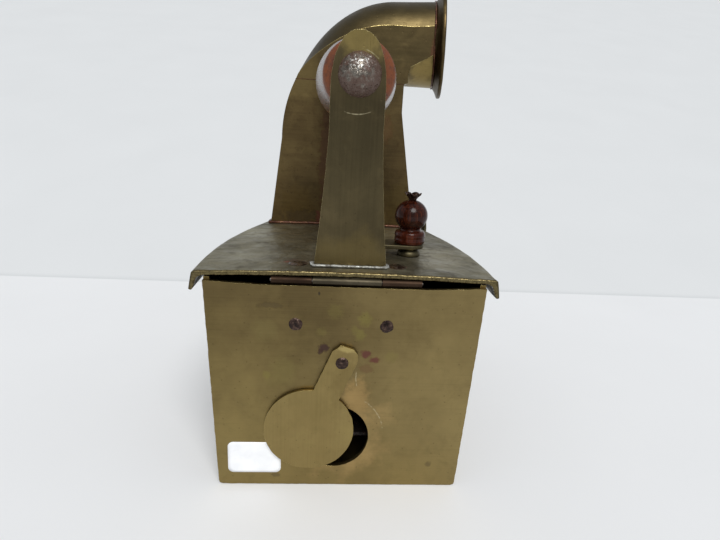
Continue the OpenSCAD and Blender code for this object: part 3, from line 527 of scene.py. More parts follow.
def refined(node, materials, width, inside=False):
    """The CAD node's shape with rounded edges; inside marks what faces the body's middle."""
    mesh = frame["nodes"][node].data.copy()
    mesh.materials.clear()
    bm = bmesh.new()
    bm.from_mesh(mesh)
    bmesh.ops.remove_doubles(bm, verts=bm.verts[:], dist=2e-6)
    bmesh.ops.dissolve_limit(bm, angle_limit=math.radians(0.4), verts=bm.verts[:], edges=bm.edges[:])
    bm.normal_update()
    for face in bm.faces:
        face.smooth = True
        place = face.calc_center_median()
        inward = Vector((-place.x, -place.y, 0))
        faces_in = inward.length > 0 and face.normal.dot(inward.normalized()) > 0.3
        face.material_index = 2 if inside and faces_in else 0
    bm.to_mesh(mesh)
    bm.free()
    if mesh.has_custom_normals:
        mesh.attributes.remove(mesh.attributes["custom_normal"])
    return rounded(settle(node + "_worn", mesh, [node], materials), width)


def resample(loop, step):
    """Points along a closed outline, no further apart than the step."""
    points = []
    for (x0, z0), (x1, z1) in zip(loop, loop[1:] + loop[:1]):
        count = max(1, round(math.hypot(x1 - x0, z1 - z0) / step))
        points += [(mix(x0, x1, i / count), mix(z0, z1, i / count)) for i in range(count)]
    return points


def ring_faces(rows, count, base=0, closed=False):
    """Faces between rings of that many points; closed joins the last ring to the first."""
    faces = []
    for k in range(rows if closed else rows - 1):
        low, high = base + k * count, base + (k + 1) % rows * count
        for i in range(count):
            j = (i + 1) % count
            faces.append((low + i, low + j, high + j, high + i))
    return faces


def circle(x, z, radius, count=96):
    """Points round a circle."""
    turns = [2 * math.pi * i / count for i in range(count)]
    return [(x + radius * math.cos(a), z + radius * math.sin(a)) for a in turns]


def upright_sheet(node, outline, holes, y0, y1, materials, edge, ragged, seed, back=0):
    """A flat sheet in XZ from y0 to y1 with rounded, ragged edges; back is its far side's material."""
    bm = bmesh.new()
    for loop in [outline] + holes:
        ring = []
        for x, z in resample(loop, 0.9):
            dx = ragged * wobble((x, 3, z), 2.5, seed) + 0.5 * ragged * wobble((x, 9, z), 0.9, seed)
            dz = ragged * wobble((x, 5, z), 2.5, seed) + 0.5 * ragged * wobble((x, 7, z), 0.9, seed)
            ring.append(bm.verts.new(at(x + dx, y0, z + dz)))
        for a, b in zip(ring, ring[1:] + ring[:1]):
            bm.edges.new((a, b))
    bmesh.ops.triangle_fill(bm, use_beauty=True, edges=bm.edges[:])
    grown = bmesh.ops.extrude_face_region(bm, geom=bm.faces[:])["geom"]
    moved = [v for v in grown if isinstance(v, bmesh.types.BMVert)]
    bmesh.ops.translate(bm, verts=moved, vec=Vector((0, (y1 - y0) * MM, 0)))
    bmesh.ops.recalc_face_normals(bm, faces=bm.faces[:])
    rims = [e for e in bm.edges if len(e.link_faces) == 2 and e.calc_face_angle() > 1.2]
    for face in bm.faces:
        face.material_index = back if face.normal.y > 0.9 else 0
    made = bmesh.ops.bevel(bm, geom=rims, offset=edge * MM, offset_type="OFFSET", segments=3,
                           profile=0.5, affect="EDGES", clamp_overlap=True)
    for face in made["faces"]:
        face.material_index = 1
    for face in bm.faces:
        face.smooth = True
    mesh = bpy.data.meshes.new(node)
    bm.to_mesh(mesh)
    bm.free()
    piece = settle(node + "_worn", mesh, [node], materials)
    piece.modifiers.new("flat", "WEIGHTED_NORMAL").weight = 60
    return piece


def lathe(name, nodes, turnings, materials, count=64, bumps=0.0, size=2.5, closed=False, stands=True):
    """Turned shapes in one piece. A turning is (start, direction, [(radius, distance)...])."""
    points, faces = [], []
    for start, direction, profile in turnings:
        base = len(points)
        ahead = Vector(direction).normalized()
        side = ahead.orthogonal().normalized()
        third = ahead.cross(side)
        for r, h in profile:
            for i in range(count):
                a = 2 * math.pi * i / count
                out = side * math.cos(a) + third * math.sin(a)
                p = Vector(start) + ahead * h + out * r
                if bumps and r > 0.01:
                    shift = bumps * (wobble(p, size) + 0.4 * wobble(p, size / 3, 2))
                    p += (out * 0.7 + ahead * (0.7 if h > 0.5 * profile[-1][1] else -0.7)) * shift
                points.append(p)
        faces += ring_faces(len(profile), count, base, closed)
    piece = make(name, points, faces, nodes, materials, stands=stands)
    bm = bmesh.new()
    bm.from_mesh(piece.data)
    bmesh.ops.remove_doubles(bm, verts=bm.verts[:], dist=1e-6)
    bmesh.ops.recalc_face_normals(bm, faces=bm.faces[:])
    bm.to_mesh(piece.data)
    bm.free()
    return piece


def dome(radius, height, sign=1, steps=9):
    """Profile of a low dome from its middle out to its rim, standing away by the sign."""
    ball = (radius ** 2 + height ** 2) / (2 * height)
    rows = [radius * math.sin(0.5 * math.pi * i / steps) for i in range(steps + 1)]
    return [(r, sign * (math.sqrt(ball ** 2 - r * r) - ball + height)) for r in rows]


def rivet(shank, grip, head_r, head_h, far_r=None):
    """Profile of a rivet from its near head, at 0 and before, to its far head past the grip."""
    near = dome(head_r, head_h, -1)
    far = [(r, grip + h) for r, h in reversed(dome(far_r or head_r, head_h))]
    return near + [(head_r * 0.97, 0.12), (shank, 0.15), (shank, grip - 0.15),
                   ((far_r or head_r) * 0.97, grip - 0.12)] + far


def bead(name, path, radius, node, material, closed=True, seed=1, squash=0.75):
    """A line of solder or braze: an uneven tube along a path."""
    points, sides, count = [], 8, len(path)
    for k, p in enumerate(path):
        here = Vector(p)
        after = Vector(path[(k + 1) % count if closed else min(k + 1, count - 1)])
        before = Vector(path[(k - 1) % count if closed else max(k - 1, 0)])
        along = (after - before).normalized()
        side = along.cross(Vector((0.2, 0.3, 1))).normalized()
        up = side.cross(along)
        r = radius * (1 + 0.35 * wobble(here, 2.2, seed) + 0.2 * wobble(here, 0.8, seed + 1))
        if not closed and k in (0, count - 1):
            r *= 0.3
        for i in range(sides):
            a = 2 * math.pi * i / sides
            points.append(here + side * (r * math.cos(a)) + up * (r * squash * math.sin(a)))
    faces = ring_faces(count, sides, 0, closed)
    if not closed:
        faces += [tuple(range(sides)), tuple((count - 1) * sides + i for i in range(sides))]
    return make(name, points, faces, [node], [material], stands=False)


def joined(name, pieces):
    """Several pieces of one finish as one piece."""
    first = pieces[0]
    bm = bmesh.new()
    for other in pieces:
        bm.from_mesh(other.data)
    bm.to_mesh(first.data)
    bm.free()
    for other in pieces[1:]:
        bpy.data.objects.remove(other)
    first.name = name
    return first


def cut_out(piece, cutters):
    """Cuts closed shapes out of the piece, and keeps the result as its mesh."""
    for mesh in cutters:
        tool = bpy.data.objects.new("cutter", mesh)
        bpy.context.scene.collection.objects.link(tool)
        cut = piece.modifiers.new("cut", "BOOLEAN")
        cut.operation = "DIFFERENCE"
        cut.solver = "EXACT"
        cut.object = tool
        bpy.context.view_layer.update()
        graph = bpy.context.evaluated_depsgraph_get()
        result = bpy.data.meshes.new_from_object(piece.evaluated_get(graph))
        piece.modifiers.remove(cut)
        piece.data = result
        bpy.data.objects.remove(tool)
    return piece


def prism(outline, z0, z1):
    """A closed upright shape on an outline in XY, for cutting."""
    n = len(outline)
    points = [at(x, y, z0) for x, y in outline] + [at(x, y, z1) for x, y in outline]
    faces = [tuple(reversed(range(n))), tuple(range(n, 2 * n))]
    faces += [(i, (i + 1) % n, n + (i + 1) % n, n + i) for i in range(n)]
    mesh = bpy.data.meshes.new("prism")
    mesh.from_pydata(points, [], faces)
    return mesh


# --------------------------------------------------------------------------------------- body

def build_body():
    hole = circle(-2.4, 20.7, 12.5)
    top = [(mix(-29, 29, i / 30), 77.6) for i in range(30, -1, -1)]
    outline = [(-42.3, 0.2), (42.3, 0.2), (43.5, 0.7), (43.8, 1.7), (HALF_TOP, PLATE_H)] + top
    outline += [(-HALF_TOP, PLATE_H), (-43.8, 1.7), (-43.5, 0.7)]
    upright_sheet("rear_plate", outline, [hole], 0, 1.6, [plate_brass, worn_edge, soot], 0.3, 0.12,
                  1, 2)
    refined("body_wall", [side_brass, worn_edge, soot], 0.35, inside=True)
    refined("sole_plate", [sole_brass, worn_edge], 0.7)
    for node, material, width in (("fire_grate", sooty_iron, 0.25), ("grate_bars", sooty_iron, 0.2),
                                  ("hinge_body_leaf", knuckle_brass, 0.12), ("hinge_pin", steel, 0.15)):
        refined(node, [material, material], width)
    refined("latch_keeper", [dark_brass, worn_edge], 0.25)
    refined("side_tab", [dark_brass, worn_edge], 0.2)

    heads = [((x, 0, 64), (0, 1, 0), rivet(1.3, 2.5, 2.3, 0.6)) for x in (-16.7, 14.1)]
    lathe("hinge_body_rivets_worn", ["hinge_body_rivets"], heads, [rivet_copper], 40, 0.14, 1.6)
    lathe("damper_rivet_worn", ["damper_rivet"],
          [((-0.6, -1.55, 50.7), (0, 1, 0), rivet(1.3, 3.15, 2.2, 0.7))], [rivet_copper], 40, 0.12, 1.6)
    sides = []
    for y in (KNOB_Y - 3.5, KNOB_Y + 3.5):
        x = HALF_BOTTOM + (HALF_TOP - HALF_BOTTOM) * 65 / PLATE_H - side_drop(y)
        sides.append(((x + 0.3, y, 65), (-1, 0, 0), rivet(1.3, 4.2, 2, 0.8)))
    lathe("keeper_rivets_worn", ["keeper_rivets"], sides, [rivet_copper], 36, 0.12, 1.6)
    tab_y = 82
    turn = math.asin((tab_y - STRAIGHT) / SIDE_R)
    x = HALF_BOTTOM + (HALF_TOP - HALF_BOTTOM) * 62 / PLATE_H - side_drop(tab_y)
    out = Vector((math.cos(turn), math.sin(turn), 0))
    start = Vector((x, tab_y, 61)) + out * 1.7
    lathe("side_tab_rivet_worn", ["side_tab_rivet"], [(start, -out, rivet(1, 4, 1.6, 0.7, 1.8))],
          [rivet_copper], 32, 0.1, 1.4)
    build_label()


def build_label():
    """A stuck-on paper label with nothing on it, and one corner that has just begun to lift."""
    w, h, r = 9.5, 6.35, 2
    corners = [(w - r, h - r, 0), (-w + r, h - r, 90), (-w + r, -h + r, 180), (w - r, -h + r, 270)]
    rim = []
    for cx, cz, start in corners:
        for i in range(9):
            a = math.radians(start + 90 * i / 8)
            rim.append((cx + r * math.cos(a), cz + r * math.sin(a)))
    rings, count = 7, len(rim)
    points = []
    for side in (0, 1):
        for k in range(rings + 1):
            for x, z in rim:
                s = k / rings
                px, pz = x * s, z * s
                lift = 0.05 * max(0, (-px - pz) / 14) ** 3
                points.append((-30.8 + px, -0.02 - lift - 0.05 * side, 11.6 + pz))
    faces = ring_faces(rings + 1, count) + ring_faces(rings + 1, count, (rings + 1) * count)
    edge, far = rings * count, (2 * rings + 1) * count
    faces += [(edge + i, edge + (i + 1) % count, far + (i + 1) % count, far + i) for i in range(count)]
    make("blank_label_paper", points, faces, ["blank_label"], [label_paper()])


def build_cover():
    """The damper: a disc with a straight arm whose end is cut to a blunt, chipped point."""
    disc_y, radius, half = -28.6, 15.9, 4.8
    outline = [(half, 2.9), (3.6, 5.2), (3.1, 5.4), (1.6, 6.3), (-2.7, 5.9), (-3.3, 5.5), (-half, 2.7)]
    meet = math.acos(half / radius)
    for i in range(81):
        a = mix(math.pi - meet, 2 * math.pi + meet, i / 80)
        outline.append((radius * math.cos(a), disc_y + radius * math.sin(a)))
    swing = math.radians(-22.2)
    turned = [(-0.6 + x * math.cos(swing) - z * math.sin(swing),
               50.7 + x * math.sin(swing) + z * math.cos(swing)) for x, z in outline]
    bore = circle(-0.6, 50.7, 1.35, 40)
    upright_sheet("damper_cover", turned, [bore], -1.5, -0.3, [cover_brass, worn_edge], 0.25, 0.12, 4)


# ---------------------------------------------------------------------------------------- lid

def lid_row(y, pinch):
    """Outer and inner outlines of the lid across one row, from the left lip's tip to the right's."""
    w = LID_HALF - side_drop(y)
    lean = 1 / math.cos(math.asin(max(0, y - STRAIGHT) / SIDE_R))
    low, flare = LID_Z - LIP_DEPTH, LIP_FLARE
    outside = [(flare - 0.4, low), (flare - 0.08, low + 0.3), (0.62 * flare, low + 2.2),
               (0.25 * flare, low + 4.2), (0, LID_Z - 1.1), (-0.18, LID_Z - 0.45)]
    inside = [(flare - 1.0, low), (flare - 1.32, low + 0.35), (-1.05, low + 2.2),
              (-1.4, LID_Z - 3), (-1.75, LID_Z - 2.3), (-2.6, LID_Z - LID_T - 0.1)]
    across = 76

    def path(side, lift, edge):
        lip = [(max(w + d * lean, 0.15), z) for d, z in side]
        reach = max(w - edge * lean, 0.12)
        top = []
        for i in range(across + 1):
            x = mix(-reach, reach, i / across)
            top.append((x, lid_top(x) - lift))
        return [(-x, z) for x, z in lip] + top + [(x, z) for x, z in reversed(lip)]

    outer = path(outside, pinch * 0.35, 0.75)
    inner = path(inside, LID_T - pinch * 0.3, 3.1)
    return outer, inner


def build_lid():
    """The lid, ragged along its rear edge, with its openings, its hinge leaf and their rivets."""
    rows = [0.8, 1.05, 1.4] + [2 + 1.25 * i for i in range(114)]
    tip = STRAIGHT + math.sqrt(SIDE_R ** 2 - (SIDE_R - LID_HALF) ** 2)
    rows = [y for y in rows if y < tip - 0.4] + [tip - 0.25]
    points, faces, marks = [], [], []
    loops = []
    for k, y in enumerate(rows):
        outer, inner = lid_row(y, (1, 0.25, 0)[k] if k < 3 else 0)
        loop = []
        for side, line in ((0, outer), (1, inner)):
            for x, z in line:
                ragged = 0
                if k < 3:
                    ragged = 0.28 * wobble((x, 0, z), 3, 5) + 0.16 * wobble((x, 0, z), 1.1, 6)
                dent = 0.13 * wobble((x, y, 0), 9, 2) + 0.05 * wobble((x, y, 0), 3, 3)
                near_edge = max(0, 1 - (y - 0.8) / 5)
                dent += 0.16 * near_edge * wobble((x, y, 0), 1.6, 4)
                calm = min(1, abs(math.hypot(x - KNOB_X, y - KNOB_Y) - 2) / 4)
                loop.append(len(points))
                points.append((x, y + max(ragged, -0.02), z + dent * calm * (0.7 if side else 1) - 0.03))
        loops.append(loop)
    n = len(loops[0]) // 2
    outline = list(range(n)) + list(range(2 * n - 1, n - 1, -1))
    for k in range(len(rows) - 1):
        for a, b in zip(outline, outline[1:] + outline[:1]):
            faces.append((loops[k][a], loops[k][b], loops[k + 1][b], loops[k + 1][a]))
            marks.append(1 if k < 2 else (2 if a >= n and b >= n else 0))
    for k in (0, len(rows) - 1):
        for i in range(n - 1):
            faces.append((loops[k][i], loops[k][i + 1], loops[k][n + i + 1], loops[k][n + i]))
            marks.append(1)
    lid = make("lid_plate_worn", points, faces, ["lid_plate"], [lid_brass, lid_edge, soot], marks)
    left, right = flue_edges(LID_Z)
    half, middle = (right - left) / 2 - 4, (left + right) / 2
    arc = [math.pi * i / 24 for i in range(25)]
    flue = [(middle + half * math.cos(a), FLUE_Y + 4 + (STACK_DEPTH - 8) * math.sin(a)) for a in arc]
    bore = [(KNOB_X + x, KNOB_Y + y) for x, y in circle(0, 0, 2.6, 40)]
    cut_out(lid, [prism(flue, 70, 90), prism(bore, 70, 90)])
    rivets = [((x, 10.5, lid_top(x) - LID_T - 0.9), (0, 0, 1), rivet(1.3, 2.62, 2.3, 0.4, 3.3))
              for x in (-16.9, 17.4)]
    lathe("hinge_lid_rivets_worn", ["hinge_lid_rivets"], rivets, [lid_copper], 40, 0.12, 1.5)
    refined("hinge_lid_leaf", [leaf_brass, leaf_brass], 0.12)


# ------------------------------------------------------------------------------------- handle

def build_handle():
    foot, crest, rise, wide, narrow = lid_top(0) + 0.02, GRIP_Z - 6.2, 19, 12.4, 8.7
    x0 = GRIP_X - 0.3
    side = []
    for i in range(25):
        s = i / 24
        side.append((narrow + (wide - narrow) * (1 - s) ** 1.35, foot + 45 * s))
    arc = []
    for i in range(57):
        a = math.pi * i / 56
        round_x = math.copysign(abs(math.cos(a)) ** 0.85, math.cos(a))
        arc.append((narrow * round_x, crest + (rise - 0.12) * math.sin(a) ** 0.85))
    outline = side + arc + [(-x, z) for x, z in reversed(side)]
    bore = circle(GRIP_X, GRIP_Z, 2.5, 40)
    upright_sheet("handle_post", [(x0 + x, z) for x, z in outline], [bore], POST_Y, POST_Y + POST_T,
                  [post_brass, post_edge], 0.5, 0.09, 7)

    beads = []
    for seed, (xa, ya, xb, yb) in enumerate(((-13.1, 7.0, 12.9, 7.0), (-12.6, 11.4, 12.6, 11.4),
                                             (-12.8, 7.4, -12.8, 11.3), (12.6, 7.4, 12.6, 11.3))):
        steps = max(6, round(math.hypot(xb - xa, yb - ya) / 0.55))
        path = [(x0 + mix(xa, xb, i / steps), mix(ya, yb, i / steps), foot + 0.3)
                for i in range(steps + 1)]
        beads.append(bead("foot_bead", path, 1.15, "post_solder", grey_solder, False, seed + 1, 0.4))
    solder_line = joined("post_solder_bead", beads)
    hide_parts("post_solder")

    y0, length = POST_Y + POST_T, FLUE_Y - POST_Y - POST_T
    edge = 1.2
    profile = [(2.75, 0.0), (9.6, 0.0), (10.4, 0.12), (11.0, 0.5), (11.3, 1.0)]
    for i in range(61):
        s = i / 60
        groove = 0.12 * sum(math.exp(-((s * length - g) / 0.5) ** 2) for g in (4.2, length - 4.2))
        profile.append((11.5 + 3.3 * math.sin(math.pi * s) - groove, edge + s * (length - 2 * edge)))
    profile += [(11.3, length - 1.0), (11.0, length - 0.5), (10.4, length - 0.12), (9.6, length),
                (2.75, length)]
    lathe("handle_grip_turned", ["handle_grip"], [((GRIP_X, y0, GRIP_Z), (0, 1, 0), profile)],
          [varnished_grip], 96, 0.07, 12, closed=True)

    reach = FLUE_Y + 10 - POST_Y
    head = dome(6.8, 3.5, -1, 22)
    shank = [(6.55, 0.02), (2.5, 0.03), (2.5, FLUE_Y + 9.6 - POST_Y), (2.2, reach), (0, reach)]
    lathe("handle_bolt_pitted", ["handle_bolt"],
          [((GRIP_X, POST_Y, GRIP_Z), (0, 1, 0), head + shank)], [bolt_head], 72, 0.1, 1.8)
    refined("handle_washer", [steel, steel], 0.2)
    refined("handle_nut", [steel, steel], 0.3)


# ------------------------------------------------------------------------------------ chimney

def mouth_depth(t):
    """Depth of the section's near part at a share of the way round the bend."""
    return mix(1, MOUTH_R - 0.85, t)


def flue_edges(z):
    """Left and right edges of the stack's flat face at a height."""
    left = -29.6 - 0.125 * (122 - z) if z < 122 else 26 - 55.6 * math.sqrt(1 - ((z - 122) / 56.6) ** 2)
    return left, max(24.6, 33.2 - 0.168 * (z - 84))


def stack_sizes(t):
    """Sizes of the stack's section: outer edges, flat face's edges, near and whole depth."""
    z = mix(LID_Z, SEAM_Z, t)
    left, right = [FAN_X - x for x in flue_edges(z)]
    bulge = left
    if z > BEND_Z:
        bulge = max(left, FAN_X - BEND_X + BEND_A * math.sqrt(1 - ((z - BEND_Z) / BEND_B) ** 2))
    return [right - 0.1, bulge + 0.1, right, left, mix(1, 15, t), mix(STACK_DEPTH, 38, t)]


def bend_reach(degrees):
    """Distance from the fan point to the outside of the bend."""
    a = math.radians(degrees)
    px, pz, dx, dz = FAN_X - BEND_X, SEAM_Z - BEND_Z, -math.cos(a), math.sin(a)
    qa = (dx / BEND_A) ** 2 + (dz / BEND_B) ** 2
    qb = 2 * (px * dx / BEND_A ** 2 + pz * dz / BEND_B ** 2)
    qc = (px / BEND_A) ** 2 + (pz / BEND_B) ** 2 - 1
    reach = (-qb + math.sqrt(qb * qb - 4 * qa * qc)) / (2 * qa)
    straight = TOP_RISE / (math.sin(a) + TOP_SLOPE * math.cos(a))
    return straight if straight * math.cos(a) < TOP_START else reach


def elbow_sizes(degrees):
    """Sizes of the elbow's section at an angle, in the order of the stack's."""
    t = degrees / 90
    start, fade = stack_sizes(1), (1 - t) ** 4
    return [mix(0.6, start[0], fade), bend_reach(degrees) + 0.1 * fade,
            mix(0.8 + 6.7 * t ** 6, start[2], fade),
            mix(23.9 + 24.9 * (1 - t) ** 1.8, start[3], (1 - t) ** 12),
            mix(15, mouth_depth(1), t), mix(38, mouth_depth(1) + MOUTH_R, t)]


def section(sizes, thick):
    """Points round one section of the chimney, in (u, v)."""
    near_steps, far_steps = 12, 22
    u0, u1, f0, f1 = sizes[0] + thick, sizes[1] - thick, sizes[2] + thick, sizes[3] - thick
    mid, c = (u0 + u1) / 2, sizes[4]
    far, near = sizes[5] - thick - c, c - thick
    k1, k0 = min(0.9995, (f1 - mid) / (u1 - mid)), min(0.9995, (mid - f0) / (mid - u0))
    b1, b0 = near / math.sqrt(1 - k1 * k1), near / math.sqrt(1 - k0 * k0)
    a1, a0 = math.asin(near / b1), math.asin(near / b0)
    line = []
    for i in range(near_steps + 1):
        a = a1 * (1 - i / near_steps)
        line.append((mid + (u1 - mid) * math.cos(a), c - b1 * math.sin(a)))
    for i in range(1, 2 * far_steps + 1):
        a = 0.5 * math.pi * i / far_steps
        reach = u1 - mid if a <= math.pi / 2 else mid - u0
        line.append((mid + reach * math.cos(a), c + far * math.sin(a)))
    for i in range(1, near_steps + 1):
        a = a0 * i / near_steps
        line.append((mid - (mid - u0) * math.cos(a), c - b0 * math.sin(a)))
    line += [(mix(f0, f1, i / FLAT_STEPS), thick) for i in range(1, FLAT_STEPS)]
    return line


def stack_ring(t, thick):
    """Points round the stack at a share of its height; the lowest ring stands on the lid."""
    ring = []
    for u, v in section(stack_sizes(t), thick):
        x = FAN_X - u
        z = lid_top(x) + 0.02 if t == 0 else mix(LID_Z, SEAM_Z, t)
        ring.append((x, FLUE_Y + v, z))
    return ring


def elbow_ring(degrees, thick):
    """Points round the elbow at an angle about the fan point."""
    a = math.radians(degrees)
    return [(FAN_X - u * math.cos(a), FLUE_Y + v, SEAM_Z + u * math.sin(a))
            for u, v in section(elbow_sizes(degrees), thick)]


def stub_ring(s, thick):
    """Points round the straight end, which turns from the elbow's section into a circle."""
    e, c, facet = elbow_sizes(90), mouth_depth(1), 5.8
    rise = (STUB_X - FAN_X) * math.tan(math.radians(MOUTH_LIFT))
    sizes = [mix(e[0], 0, s), mix(e[1], 2 * MOUTH_R, s), mix(e[2], MOUTH_R - facet, s),
             mix(e[3], MOUTH_R + facet, s), e[4], e[5]]
    ring = []
    for u, v in section(sizes, thick):
        slant = (v - c) * math.tan(math.radians(MOUTH_TURN)) \
            - (u - MOUTH_R) * math.tan(math.radians(MOUTH_LIFT))
        ring.append((FAN_X + s * (STUB_X - FAN_X + slant), FLUE_Y + v, SEAM_Z + u + s * rise))
    return ring


def shell(name, outer, inner, node, materials, dents):
    """A tube of sheet between two stacks of rings: its flat face, its curved side and its inside
    have their own materials, and its creases and ends are rounded."""
    count = len(outer[0])
    flat_from = count - FLAT_STEPS
    points = []
    for rings in (outer, inner):
        for k, ring in enumerate(rings):
            calm = min(1, k / 3, (len(rings) - 1 - k) / 3)
            for p in ring:
                shift = calm * dents * (wobble(p, 16, 3) + 0.3 * wobble(p, 5, 4))
                points.append((p[0], p[1] + shift, p[2]))
    base = len(outer) * count
    faces, marks = [], []
    for k in range(len(outer) - 1):
        for i in range(count):
            j = (i + 1) % count
            low, high = k * count, (k + 1) * count
            faces += [(low + i, low + j, high + j, high + i),
                      (base + low + j, base + low + i, base + high + i, base + high + j)]
            marks += [0 if i >= flat_from else 3, 2]
    last = (len(outer) - 1) * count
    for i in range(count):
        j = (i + 1) % count
        faces += [(i, base + i, base + j, j), (last + i, last + j, base + last + j, base + last + i)]
        marks += [1, 1]
    piece = make(name, points, faces, [node], materials, marks)
    mesh = piece.data
    weights = mesh.attributes.new("bevel_weight_edge", "FLOAT", "EDGE")
    for edge in mesh.edges:
        a, b = edge.vertices
        crease = max(a, b) < base and a % count == b % count and a % count in (0, flat_from)
        rows = {a % base // count, b % base // count}
        rim = len(rows) == 1 and rows <= {0, len(outer) - 1} and (a < base) == (b < base)
        weights.data[edge.index].value = 1.0 if crease or rim else 0.0
    return piece


def build_chimney():
    levels = [i / 44 for i in range(45)]
    stack = shell("chimney_stack_sheet", [stack_ring(t, 0) for t in levels],
                  [stack_ring(t, FLUE_T) for t in levels], "chimney_stack",
                  [flue_brass, flue_edge, soot, elbow_brass], 0.18)
    rounded(stack, 0.3, "WEIGHT")
    bends = [2.5 * i for i in range(37)]
    ends = [0.2, 0.4, 0.6, 0.8, 1]
    elbow = shell("chimney_elbow_sheet",
                  [elbow_ring(a, 0) for a in bends] + [stub_ring(s, 0) for s in ends],
                  [elbow_ring(a, FLUE_T) for a in bends] + [stub_ring(s, FLUE_T) for s in ends],
                  "chimney_elbow", [flue_brass, flue_edge, soot, elbow_brass], 0.12)
    rounded(elbow, 0.3, "WEIGHT")

    rise = (STUB_X - FAN_X) * math.tan(math.radians(MOUTH_LIFT))
    centre = Vector((STUB_X, FLUE_Y + mouth_depth(1), SEAM_Z + MOUTH_R + rise))
    turn, lift = math.radians(MOUTH_TURN), math.radians(MOUTH_LIFT)
    ahead = Vector((math.cos(turn) * math.cos(lift), -math.sin(turn) * math.cos(lift), math.sin(lift)))
    inner = MOUTH_R - FLUE_T
    profile = [(inner, 0.03), (MOUTH_R, 0.03), (MOUTH_R + 0.25, 0.35), (MOUTH_R + 0.9, 0.95),
               (MOUTH_R + 2.4, 1.85), (MOUTH_R + 4.0, 2.5), (23.2, 2.75), (23.38, 3.0), (23.38, 3.9),
               (23.2, 4.25), (22.8, 4.38), (22.1, 4.38), (21.7, 4.2), (20.6, 3.6), (19.3, 2.5),
               (18.4, 1.5), (17.9, 0.8)]
    lathe("chimney_rim_turned", ["chimney_rim"], [(centre, ahead, profile)], [rim_brass, flue_edge],
          128, 0.1, 7, closed=True)
    braze = [bead("mouth_bead", stub_ring(1, -0.15), 0.42, "chimney_rim", brown_braze, True, 3, 1.0),
             bead("seam_bead", elbow_ring(0, 0.05), 0.2, "chimney_elbow", brown_braze, True, 9, 0.6)]
    joined("chimney_seam_braze", braze)
    foot = [Vector(p) + Vector((0, 0, 0.45)) for p in stack_ring(0, -0.35)]
    fillet = bead("chimney_foot_braze", foot, 0.75, "chimney_solder", brown_braze, True, 5, 0.85)
    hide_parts("chimney_solder")


# -------------------------------------------------------------------------------------- latch

def build_latch():
    bush_h, play = 3, 0.3
    lever_z = lid_top(KNOB_X) + bush_h + play
    ring_z = lever_z + 1.5
    refined("latch_bush", [dark_brass, worn_edge], 0.25)
    refined("latch_lever", [dark_brass, dark_brass], 0.3)
    collar = [(3.1, 0.05), (4.2, 0.1), (4.35, 0.5), (4.3, 1.1), (4.0, 1.8), (3.5, 2.4), (3.1, 2.85)]
    foot = (KNOB_X, KNOB_Y, lid_top(KNOB_X) + 0.02)
    lathe("latch_collar", ["latch_bush"], [(foot, (0, 0, 1), collar)], [dark_brass], 48, 0.08, 2,
          closed=True, stands=False)
    for node, width in (("latch_spindle", 0.2), ("latch_hook", 0.25), ("latch_nut", 0.25)):
        refined(node, [steel, steel], width)
    globe_h, globe_r, ring_h = 11.9, 6.1, 5.2
    profile = [(0, 0), (4.6, 0), (5.3, 0.08), (5.6, 0.4), (5.68, 0.9)]
    profile += [(5.72 + 0.05 * math.sin(i), 0.9 + 0.3 * i) for i in range(1, 10)]
    profile += [(5.66, 3.95), (5.5, 4.4), (5.15, 4.75), (4.6, 4.95), (4.1, 5.0), (3.85, 5.15)]
    for i in range(31):
        a = math.radians(mix(-50, 77, i / 30))
        rise = globe_h / 2 * (1 + math.sin(a)) - 0.6
        profile.append((globe_r * math.cos(a), ring_h + rise))
    profile.append((0, ring_h + globe_h - 0.72))
    lathe("latch_knob_turned", ["latch_knob"], [((KNOB_X, KNOB_Y, ring_z), (0, 0, 1), profile)],
          [red_knob], 72, 0.05, 3)
    build_crown(ring_z + ring_h + globe_h - 0.8)


def build_crown(foot):
    """A flared calyx whose rim is cut into points."""
    count, rows, petals = 96, 9, 6
    points = []
    for side in (0, 1):
        for k in range(rows + 1):
            s = k / rows
            for i in range(count):
                a = 2 * math.pi * i / count
                point = abs(math.cos(petals * a / 2)) ** 0.8
                height = s * (2.15 + 0.65 * point)
                r = 1.35 + 0.35 * s + 1.5 * s ** 1.5 - 0.32 * side
                h = height + (0.35 * (1 - s) if side else 0)
                p = (KNOB_X + r * math.cos(a), KNOB_Y + r * math.sin(a), foot + h)
                shift = 0.06 * wobble(p, 1.2, 8)
                points.append((p[0] + shift, p[1] - shift, p[2]))
    ring = (rows + 1) * count
    faces = ring_faces(rows + 1, count) + ring_faces(rows + 1, count, ring)
    top = rows * count
    for i in range(count):
        j = (i + 1) % count
        faces.append((top + i, top + j, ring + top + j, ring + top + i))
    faces += [tuple(range(count)), tuple(range(ring, ring + count))]
    make("latch_crown_cut", points, faces, ["latch_crown"],
         [copper("crown_copper", "#1e1613", "#4c382e")])


# -------------------------------------------------------------------------------------- stage

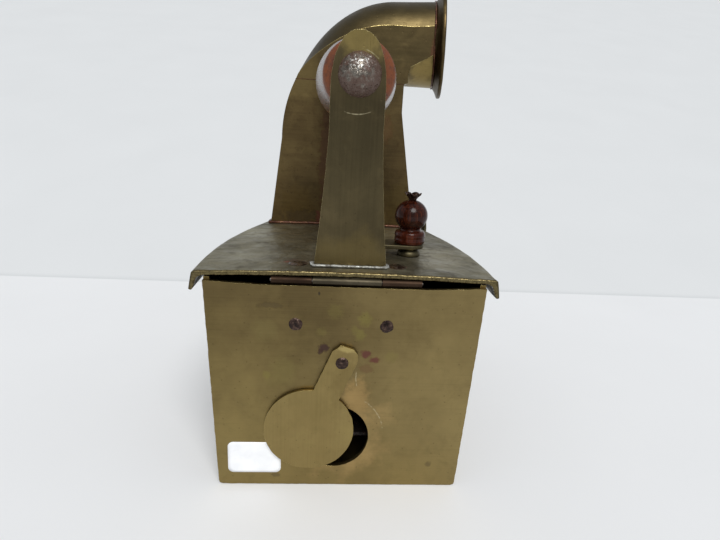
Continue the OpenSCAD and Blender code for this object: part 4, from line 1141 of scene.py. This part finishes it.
def build_stage():
    """A pale table with a pale backdrop that slopes up behind it, under a broad soft light."""
    edge, slope, bend = 0.165, math.radians(20), 0.02
    profile = [(-2.4, 0.0), (edge, 0.0)]
    for i in range(1, 7):
        a = slope * i / 6
        profile.append((edge + bend * math.sin(a), bend * (1 - math.cos(a))))
    profile.append((edge + 3.6 * math.cos(slope), 3.6 * math.sin(slope)))
    points = [(x, y, z) for x in (-3.2, 3.2) for y, z in profile]
    n = len(profile)
    mesh = bpy.data.meshes.new("table")
    mesh.from_pydata(points, [], [(i, i + 1, n + i + 1, n + i) for i in range(n - 1)])
    for material in (pale_paint("pale_table", "#e5e6e8", "#e7e8ea"),
                     pale_paint("pale_backdrop", "#d2d4d6", "#d4d6d8")):
        mesh.materials.append(material)
    for i, face in enumerate(mesh.polygons):
        face.use_smooth = True
        face.material_index = 0 if i == 0 else 1
    table = bpy.data.objects.new("table", mesh)
    bpy.context.scene.collection.objects.link(table)

    world = bpy.data.worlds.new("room")
    bpy.context.scene.world = world
    world.use_nodes = True
    sky = world.node_tree.nodes["Background"]
    sky.inputs["Color"].default_value = (0.93, 0.965, 1.0, 1)
    sky.inputs["Strength"].default_value = 0.5
    lamp = bpy.data.lights.new("softbox", "SUN")
    lamp.energy = 2.35
    lamp.angle = math.radians(32)
    lamp.color = (1.0, 0.99, 0.965)
    holder = bpy.data.objects.new("softbox", lamp)
    bpy.context.scene.collection.objects.link(holder)
    holder.rotation_euler = Vector((-0.15, 1.0, -1.15)).to_track_quat("-Z", "Y").to_euler()


def build_camera():
    """A camera behind and above the iron, a little to its left."""
    pitch, yaw, roll = [math.radians(a) for a in (16.296, 3.743, 3.032)]
    ahead = Vector((math.sin(yaw) * math.cos(pitch), math.cos(yaw) * math.cos(pitch), -math.sin(pitch)))
    level = Vector((math.cos(yaw), -math.sin(yaw), 0))
    up = level.cross(ahead)
    right = level * math.cos(roll) + up * math.sin(roll)
    top = up * math.cos(roll) - level * math.sin(roll)
    eye = bpy.data.objects.new("camera", bpy.data.cameras.new("camera"))
    eye.data.sensor_width = 36
    eye.data.lens = 24.997
    eye.data.clip_start = 0.01
    turn = Matrix((right, top, -ahead)).transposed()
    eye.matrix_world = Matrix.Translation(at(-6.284, -156.637, 129.649)) @ turn.to_4x4()
    bpy.context.scene.collection.objects.link(eye)
    bpy.context.scene.camera = eye
    bpy.context.scene.view_settings.view_transform = "Standard"


build_camera()
build_stage()
build_body()
build_cover()
build_lid()
build_handle()
build_chimney()
build_latch()
